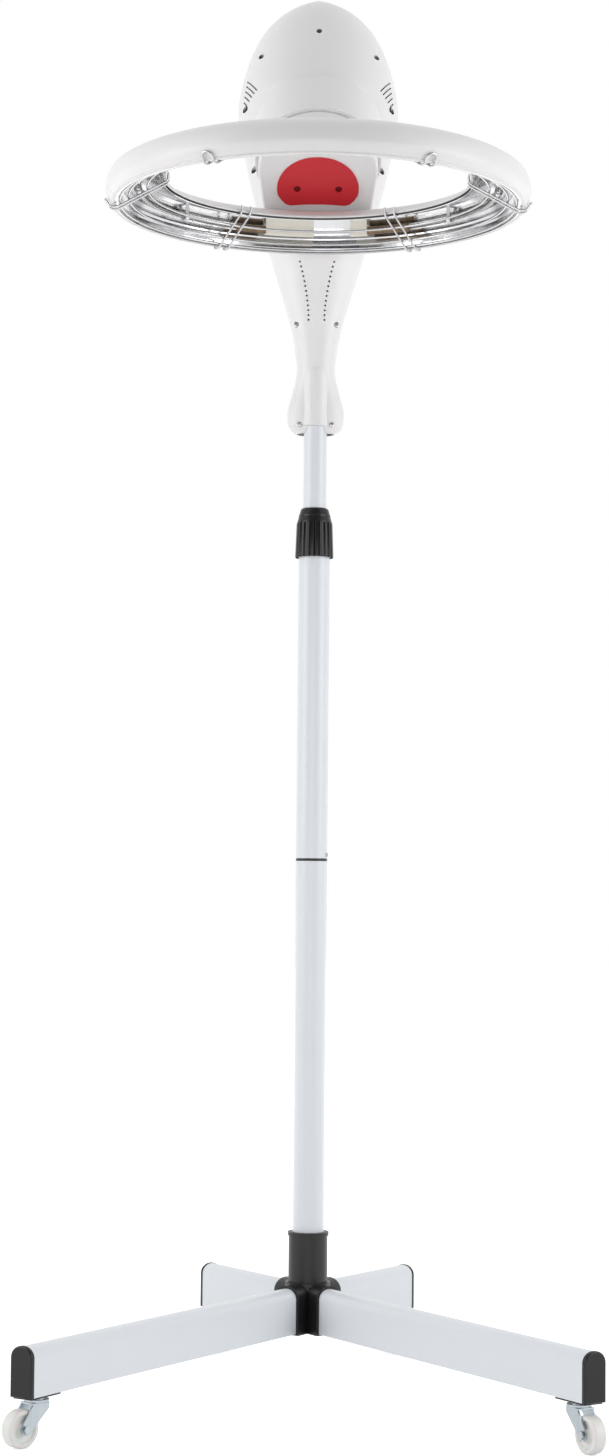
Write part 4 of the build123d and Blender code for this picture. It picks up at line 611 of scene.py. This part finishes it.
class HALO_OT_knob(Operator):
    """Shape the fluted clamp knob: broad ribs round a skirt, and a cone above it"""

    bl_idname = "halo.knob"
    bl_label = "Clamp knob"

    def execute(self, context):
        sizes = context.scene.halo_sizes
        low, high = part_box("clamp_knob")
        foot, height = (high.x - low.x) / 2, high.z - low.z
        skirt = 0.709 * height
        ribs, steps = sizes.knob_ribs, 12
        outline = []
        for index in range(ribs * steps):
            turn = 2 * math.pi * index / (ribs * steps)
            wave = math.cos(turn * ribs)
            radius = foot - 0.0001 - sizes.knob_groove * max(0.0, -wave - 0.25) / 0.75
            outline.append((radius * math.cos(turn), radius * math.sin(turn), 0.0))
        start_clean()
        mesh = bpy.data.meshes.new("knob_skirt")
        skirt_piece = bpy.data.objects.new("knob_skirt", mesh)
        context.scene.collection.objects.link(skirt_piece)
        mesh.from_pydata(outline, [(i, (i + 1) % len(outline)) for i in range(len(outline))], [])
        context.view_layer.objects.active = skirt_piece
        skirt_piece.select_set(True)
        bpy.ops.object.mode_set(mode="EDIT")
        bpy.ops.mesh.select_all(action="SELECT")
        taper = 0.935
        levels = [(0.985, 0.0), (1.0, 0.0012), (1.0 - (1.0 - taper) * 0.93, 0.955 * skirt), (taper - 0.015, skirt)]
        bpy.ops.transform.resize(value=(levels[0][0], levels[0][0], 1.0), center_override=(0.0, 0.0, 0.0))
        for (scale0, z0), (scale1, z1) in zip(levels, levels[1:]):
            bpy.ops.mesh.extrude_edges_move(TRANSFORM_OT_translate={"value": (0.0, 0.0, z1 - z0)})
            ratio = scale1 / scale0
            bpy.ops.transform.resize(value=(ratio, ratio, 1.0), center_override=(0.0, 0.0, 0.0))
        bpy.ops.mesh.select_all(action="SELECT")
        bpy.ops.mesh.select_mode(type="EDGE")
        bpy.ops.object.mode_set(mode="OBJECT")
        bore = foot * 0.83
        tip = foot * 0.7
        nose = 0.0136
        core = [
            (bore, 0.0004),
            (foot * 0.85, 0.0004),
            (foot * 0.85, skirt - 0.0006),
            (foot * 0.905, skirt - 0.0006),
            (foot * 0.905, skirt + 0.0004),
            (foot * 0.893, skirt + 0.0014),
            (tip + 0.0010, height - 0.0028),
            (tip + 0.0004, height - 0.0012),
            (tip - 0.0007, height - 0.0003),
            (tip - 0.0018, height - 0.0001),
            (nose + 0.0004, height - 0.0001),
            (nose, height - 0.0005),
            (nose, height - 0.008),
            (bore, height - 0.008),
        ]
        core_piece = turned("clamp_knob_ribbed", core, 96)
        core_piece.select_set(True)
        skirt_piece.select_set(True)
        context.view_layer.objects.active = core_piece
        bpy.ops.object.join()
        settle(core_piece, Matrix.Translation((0.0, 0.0, low.z)), 40.0)
        dress(core_piece, "clamp", "black_plastic", "gloss_black", "clamp_knob")
        return {"FINISHED"}


class HALO_OT_coils(Operator):
    """Wind the resistance wire inside the two quartz tubes"""

    bl_idname = "halo.coils"
    bl_label = "Heater coils"

    def execute(self, context):
        sizes = context.scene.halo_sizes
        centre = middle("heater_tubes")
        made = []
        for side, start in ((1, sizes.left_coil_start), (-1, sizes.right_coil_start)):
            start_clean()
            line = bpy.data.curves.new("coil_line", "CURVE")
            line.dimensions = "3D"
            spline = line.splines.new("POLY")
            sweep = sizes.coil_end - start
            turns = int(math.radians(sweep) * sizes.tube_radius / sizes.coil_pitch)
            count = turns * 16
            spline.points.add(count - 1)
            for index, point in enumerate(spline.points):
                share = index / (count - 1)
                heading = math.radians(90.0 + side * (start + sweep * share))
                wind = 2 * math.pi * turns * share
                reach = sizes.tube_radius + sizes.coil_radius * math.cos(wind)
                rise = centre.z + sizes.coil_radius * math.sin(wind)
                point.co = (centre.x + reach * math.cos(heading), centre.y + reach * math.sin(heading), rise, 1.0)
            line.bevel_depth = sizes.coil_wire
            line.bevel_resolution = 2
            line.use_fill_caps = True
            piece = bpy.data.objects.new("coil_line", line)
            context.scene.collection.objects.link(piece)
            context.view_layer.objects.active = piece
            piece.select_set(True)
            bpy.ops.object.convert(target="MESH")
            made.append(context.object)
        for piece in made:
            piece.select_set(True)
        context.view_layer.objects.active = made[0]
        bpy.ops.object.join()
        made[0].name = made[0].data.name = "heater_windings"
        settle(made[0], None, 60.0)
        dress(made[0], "orbit", "coil_wire", "resistance_wire", "heater_coils")
        return {"FINISHED"}


class HALO_OT_wheels(Operator):
    """Turn one caster wheel and set a copy on each fork"""

    bl_idname = "halo.wheels"
    bl_label = "Caster wheels"

    def execute(self, context):
        sizes = context.scene.halo_sizes
        rim, half = sizes.wheel_radius - 0.00005, sizes.wheel_width / 2
        hub, bore = sizes.wheel_hub, sizes.wheel_bore
        edge = 0.0026
        round_edge = [
            (rim - edge + edge * math.cos(math.radians(a)), half - edge + edge * math.sin(math.radians(a)))
            for a in (72, 54, 36, 18)
        ]
        face = [
            (bore, half + 0.0003), (hub - 0.0006, half + 0.0003), (hub, half - 0.0002), (hub + 0.0005, half - 0.0024),
            (hub + 0.0012, half - 0.0028), (rim - 0.0062, half - 0.0022), (rim - 0.0048, half - 0.0004),
            (rim - 0.0042, half), (rim - edge, half),
        ]
        upper = face + round_edge
        tread = [(rim, half - 0.0032), (rim + 0.00002, 0.0)]
        lower = [(radius, -z) for radius, z in reversed(upper)]
        profile = upper + tread + [(rim, 0.0032 - half)] + lower
        wheel = turned("caster_tread", profile, 72)
        for joint in frame["joints"]:
            if not joint["name"].endswith("_wheel_roll"):
                continue
            corner = joint["name"].replace("_wheel_roll", "")
            centre = Vector(joint["pos_m"])
            across = Vector(joint["axis"]).normalized()
            matrix = Matrix.Translation(centre) @ across.to_track_quat("Z", "Y").to_matrix().to_4x4()
            piece = copied(wheel, "tread_" + corner, matrix)
            settle(piece, None, 30.0)
            dress(piece, "wheel_" + corner, "nylon", "milky_nylon", "caster_wheel_" + corner)
        bpy.data.objects.remove(wheel)
        return {"FINISHED"}


class HALO_OT_screws(Operator):
    """Make the shell screws with rounded heads and crossed slots"""

    bl_idname = "halo.screws"
    bl_label = "Shell screws"

    def execute(self, context):
        sizes = context.scene.halo_sizes
        parts = split_places("shell_screws")
        low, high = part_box("shell_screws")
        head, rise = sizes.screw_head, sizes.screw_head_rise
        profile = [
            (0.00002, -0.0105), (0.0014, -0.0105), (0.0014, 0.0), (head, 0.0), (head, 0.35 * rise),
            (0.9 * head, 0.72 * rise), (0.7 * head, 0.92 * rise), (0.4 * head, rise - 0.00005), (0.00002, rise),
        ]
        screw = turned("screw", profile, 40)
        for turn in (0.0, 90.0):
            start_clean()
            bpy.ops.mesh.primitive_cube_add(size=1.0, location=(0.0, 0.0, rise))
            slot_box = context.object
            slot_box.scale = (1.25 * head, 0.22 * head, 1.3 * rise)
            slot_box.rotation_euler.z = math.radians(turn + 20.0)
            bpy.ops.object.transform_apply(location=True, rotation=True, scale=True)
            apply_modifier(screw, "BOOLEAN", operation="DIFFERENCE", object=slot_box, solver="EXACT")
            bpy.data.objects.remove(slot_box)
        facing = Matrix.Rotation(math.radians(90.0), 4, "X")
        made = []
        for index, (x, z, y) in enumerate(parts):
            twist = Matrix.Rotation(math.radians(37.0 * index), 4, "Z")
            made.append(copied(screw, f"screw_{index}", Matrix.Translation((x, y + rise, z)) @ facing @ twist))
        bpy.data.objects.remove(screw)
        start_clean()
        for piece in made:
            piece.select_set(True)
        context.view_layer.objects.active = made[0]
        bpy.ops.object.join()
        made[0].name = made[0].data.name = "cross_head_screws"
        settle(made[0], None, 35.0)
        dress(made[0], "mast", "steel", "turned_steel", "shell_screws")
        return {"FINISHED"}


class HALO_OT_edges(Operator):
    """Round off the moulded edges of the hub, the window, the rear panel and the inlet"""

    bl_idname = "halo.edges"
    bl_label = "Moulded edges"

    def execute(self, context):
        for node_name, body, slot_name, finish, width in SOFT_EDGES:
            dress(softened(node_name, width), body, slot_name, finish, node_name)
        return {"FINISHED"}


SOFT_EDGES = (
    ("base_hub", "base", "black_plastic", "black_moulding", 0.0012),
    ("sensor_window", "orbit", "sensor_red", "red_filter", 0.0008),
    ("panel_bezel", "mast", "black_plastic", "black_moulding", 0.0004),
    ("power_inlet", "mast", "black_plastic", "black_moulding", 0.0004),
    ("switch_housing", "mast", "black_plastic", "black_moulding", 0.0004),
)


class HALO_OT_symbols(Operator):
    """Raise a plain symbol on each key of the rear panel"""

    bl_idname = "halo.symbols"
    bl_label = "Key symbols"

    def execute(self, context):
        for key_name, bars in (("less_key", (0.0,)), ("more_key", (0.0, 90.0)), ("start_key", ())):
            low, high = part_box(key_name)
            centre = (low + high) / 2
            made = []
            for turn in bars:
                start_clean()
                bpy.ops.mesh.primitive_cube_add(size=1.0, location=(0.0, 0.0, 0.0))
                bar = context.object
                bar.scale = (0.0052, 0.00035, 0.001)
                bpy.ops.object.transform_apply(location=False, rotation=False, scale=True)
                apply_modifier(bar, "BEVEL", width=0.0001, segments=2)
                settle(bar, Matrix.Rotation(math.radians(turn), 4, "Y"))
                made.append(bar)
            if not bars:
                made.append(turned("ring_mark", [(0.0021, 0.0), (0.0029, 0.0), (0.0029, 0.0003), (0.0021, 0.0003)], 40))
                settle(made[0], Matrix.Rotation(math.radians(-90.0), 4, "X"))
            start_clean()
            for piece in made:
                piece.select_set(True)
            context.view_layer.objects.active = made[0]
            if len(made) > 1:
                bpy.ops.object.join()
            piece = made[0]
            piece.name = piece.data.name = key_name + "_symbol"
            settle(piece, Matrix.Translation((centre.x, high.y - 0.00012, centre.z)))
            dress(piece, key_name, "facia_grey", "panel_grey")
        return {"FINISHED"}


class HALO_OT_finishes(Operator):
    """Give every carried-over piece its finish"""

    bl_idname = "halo.finishes"
    bl_label = "Finish the frame's pieces"

    def execute(self, context):
        for name, members in CAD_FINISHES.items():
            for member in members:
                paint(frame["nodes"][member], name)
        return {"FINISHED"}


# ---------------------------------------------------------------- stage
def lamp(name, power, size, place, target, tint=(1.0, 1.0, 1.0)):
    """Square soft lamp that looks at a point."""
    data = bpy.data.lights.new(name, "AREA")
    data.energy, data.size, data.color = power, size, tint
    made = bpy.data.objects.new(name, data)
    bpy.context.scene.collection.objects.link(made)
    made.location = place
    made.rotation_euler = (Vector(target) - Vector(place)).to_track_quat("-Z", "Y").to_euler()
    return made


def dark_card(name, width, height, place, target):
    """Dark card above the camera: it shades what looks up at it, and the polished metal shows it."""
    bpy.ops.object.select_all(action="DESELECT")
    bpy.ops.mesh.primitive_plane_add(size=1.0, location=place)
    card = bpy.context.object
    card.name = card.data.name = name
    card.scale = (width, height, 1.0)
    card.rotation_euler = (Vector(target) - Vector(place)).to_track_quat("Z", "Y").to_euler()
    bpy.ops.object.transform_apply(location=True, rotation=True, scale=True)
    card.data.materials.append(start_material(name, (0.02, 0.02, 0.02), 0.9)[0])
    card.visible_camera = False
    return card


def seen_mask(tree):
    """1 for rays from the camera, from gloss and through glass, else 0."""
    path = node(tree, "LightPath")
    first = node(tree, "Math", operation="MAXIMUM")
    second = node(tree, "Math", operation="MAXIMUM")
    tree.links.new(path.outputs["Is Camera Ray"], first.inputs[0])
    tree.links.new(path.outputs["Is Glossy Ray"], first.inputs[1])
    tree.links.new(first.outputs[0], second.inputs[0])
    tree.links.new(path.outputs["Is Transmission Ray"], second.inputs[1])
    return second.outputs[0]


class HALO_OT_stage(Operator):
    """Make the floor, the even white surround, the lamps and the camera"""

    bl_idname = "halo.stage"
    bl_label = "Set the stage"

    def execute(self, context):
        settings = context.scene.halo_lighting
        bpy.ops.object.select_all(action="DESELECT")
        bpy.ops.mesh.primitive_plane_add(size=30.0, location=(0.0, 0.0, 0.0))
        floor = context.object
        floor.name = "studio_floor"
        bpy.ops.object.transform_apply()
        material = bpy.data.materials.new("studio_floor")
        material.use_nodes = True
        tree = material.node_tree
        tree.nodes.clear()
        diffuse = node(tree, "BsdfDiffuse", Color=(0.8, 0.8, 0.8, 1.0))
        glow = node(tree, "Emission", Color=(1.0, 1.0, 1.0, 1.0))
        place = node(tree, "TexCoord")
        away = node(tree, "VectorMath", operation="LENGTH")
        tree.links.new(place.outputs["Object"], away.inputs[0])
        level = node(tree, "Math", operation="MULTIPLY")
        tree.links.new(spread(tree, away.outputs["Value"], 0.5, 1.0, 0.6, 2.4), level.inputs[1])
        tree.links.new(seen_mask(tree), level.inputs[0])
        tree.links.new(level.outputs[0], glow.inputs["Strength"])
        both = node(tree, "AddShader")
        tree.links.new(diffuse.outputs[0], both.inputs[0])
        tree.links.new(glow.outputs[0], both.inputs[1])
        out = node(tree, "OutputMaterial")
        tree.links.new(both.outputs[0], out.inputs["Surface"])
        floor.data.materials.append(material)

        world = bpy.data.worlds.new("studio_surround")
        context.scene.world = world
        world.use_nodes = True
        tree = world.node_tree
        tree.nodes.clear()
        even = node(tree, "Background", Color=(1.0, 1.0, 1.0, 1.0))
        split = node(tree, "SeparateXYZ")
        tree.links.new(node(tree, "TexCoord").outputs["Generated"], split.inputs[0])
        climb = spread(tree, split.outputs["Z"], settings.horizon_level, settings.zenith_level, 0.1, 0.9)
        tree.links.new(climb, even.inputs["Strength"])
        white = node(tree, "Background", Color=(1.0, 1.0, 1.0, 1.0), Strength=1.0)
        mix = node(tree, "MixShader")
        tree.links.new(seen_mask(tree), mix.inputs[0])
        tree.links.new(even.outputs[0], mix.inputs[1])
        tree.links.new(white.outputs[0], mix.inputs[2])
        out = node(tree, "OutputWorld")
        tree.links.new(mix.outputs[0], out.inputs["Surface"])

        lamp("front_lamp", settings.front_power, 1.2, (-0.3, -3.6, 0.7), (0.0, 0.0, 0.8))
        lamp("left_lamp", settings.side_power, 1.6, (-2.3, -1.1, 1.3), (0.0, -0.1, 1.0))
        lamp("right_lamp", settings.side_power, 1.6, (2.3, -1.1, 1.3), (0.0, -0.1, 1.0))
        dark_card("dark_card", settings.card_width, settings.card_height, (0.0, -2.6, 2.7), (0.0, -0.3, 1.25))

        data = bpy.data.cameras.new("studio_camera")
        data.sensor_fit, data.sensor_height, data.sensor_width = "VERTICAL", 36.0, 36.0
        data.lens = settings.lens
        camera = bpy.data.objects.new("studio_camera", data)
        context.scene.collection.objects.link(camera)
        pitch = math.radians(3.22)
        camera.matrix_world = (
            Matrix.Translation((-0.0092, -3.09, 0.54))
            @ Matrix.Rotation(math.radians(90.0) + pitch, 4, "X")
            @ Matrix.Rotation(settings.roll, 4, "Z")
        )
        context.scene.camera = camera
        context.scene.view_settings.view_transform = "Standard"
        return {"FINISHED"}


class HALO_PT_panel(Panel):
    """Lists the steps that dress the processor"""

    bl_idname = "HALO_PT_panel"
    bl_label = "Halo Hair Processor"
    bl_space_type = "VIEW_3D"
    bl_region_type = "UI"
    bl_category = "Halo"

    def draw(self, context):
        for step in STEPS:
            self.layout.operator(step.bl_idname)
        for group in (context.scene.halo_sizes, context.scene.halo_finishes, context.scene.halo_lighting):
            box = self.layout.box()
            for key in group.__annotations__:
                box.prop(group, key)


STEPS = (
    HALO_OT_finishes,
    HALO_OT_ring,
    HALO_OT_knob,
    HALO_OT_coils,
    HALO_OT_wheels,
    HALO_OT_screws,
    HALO_OT_edges,
    HALO_OT_symbols,
    HALO_OT_stage,
)
GROUPS = {"halo_sizes": HaloSizes, "halo_finishes": HaloFinishes, "halo_lighting": HaloLighting}


def register():
    for entry in (*GROUPS.values(), *STEPS, HALO_PT_panel):
        bpy.utils.register_class(entry)
    for name, entry in GROUPS.items():
        setattr(bpy.types.Scene, name, PointerProperty(type=entry))


def unregister():
    for name in GROUPS:
        delattr(bpy.types.Scene, name)
    for entry in (HALO_PT_panel, *reversed(STEPS), *GROUPS.values()):
        bpy.utils.unregister_class(entry)


def main():
    """Registers the add-on and runs every step."""
    register()
    for step in STEPS:
        family, action = step.bl_idname.split(".")
        getattr(getattr(bpy.ops, family), action)()


if __name__ == "__main__":
    main()
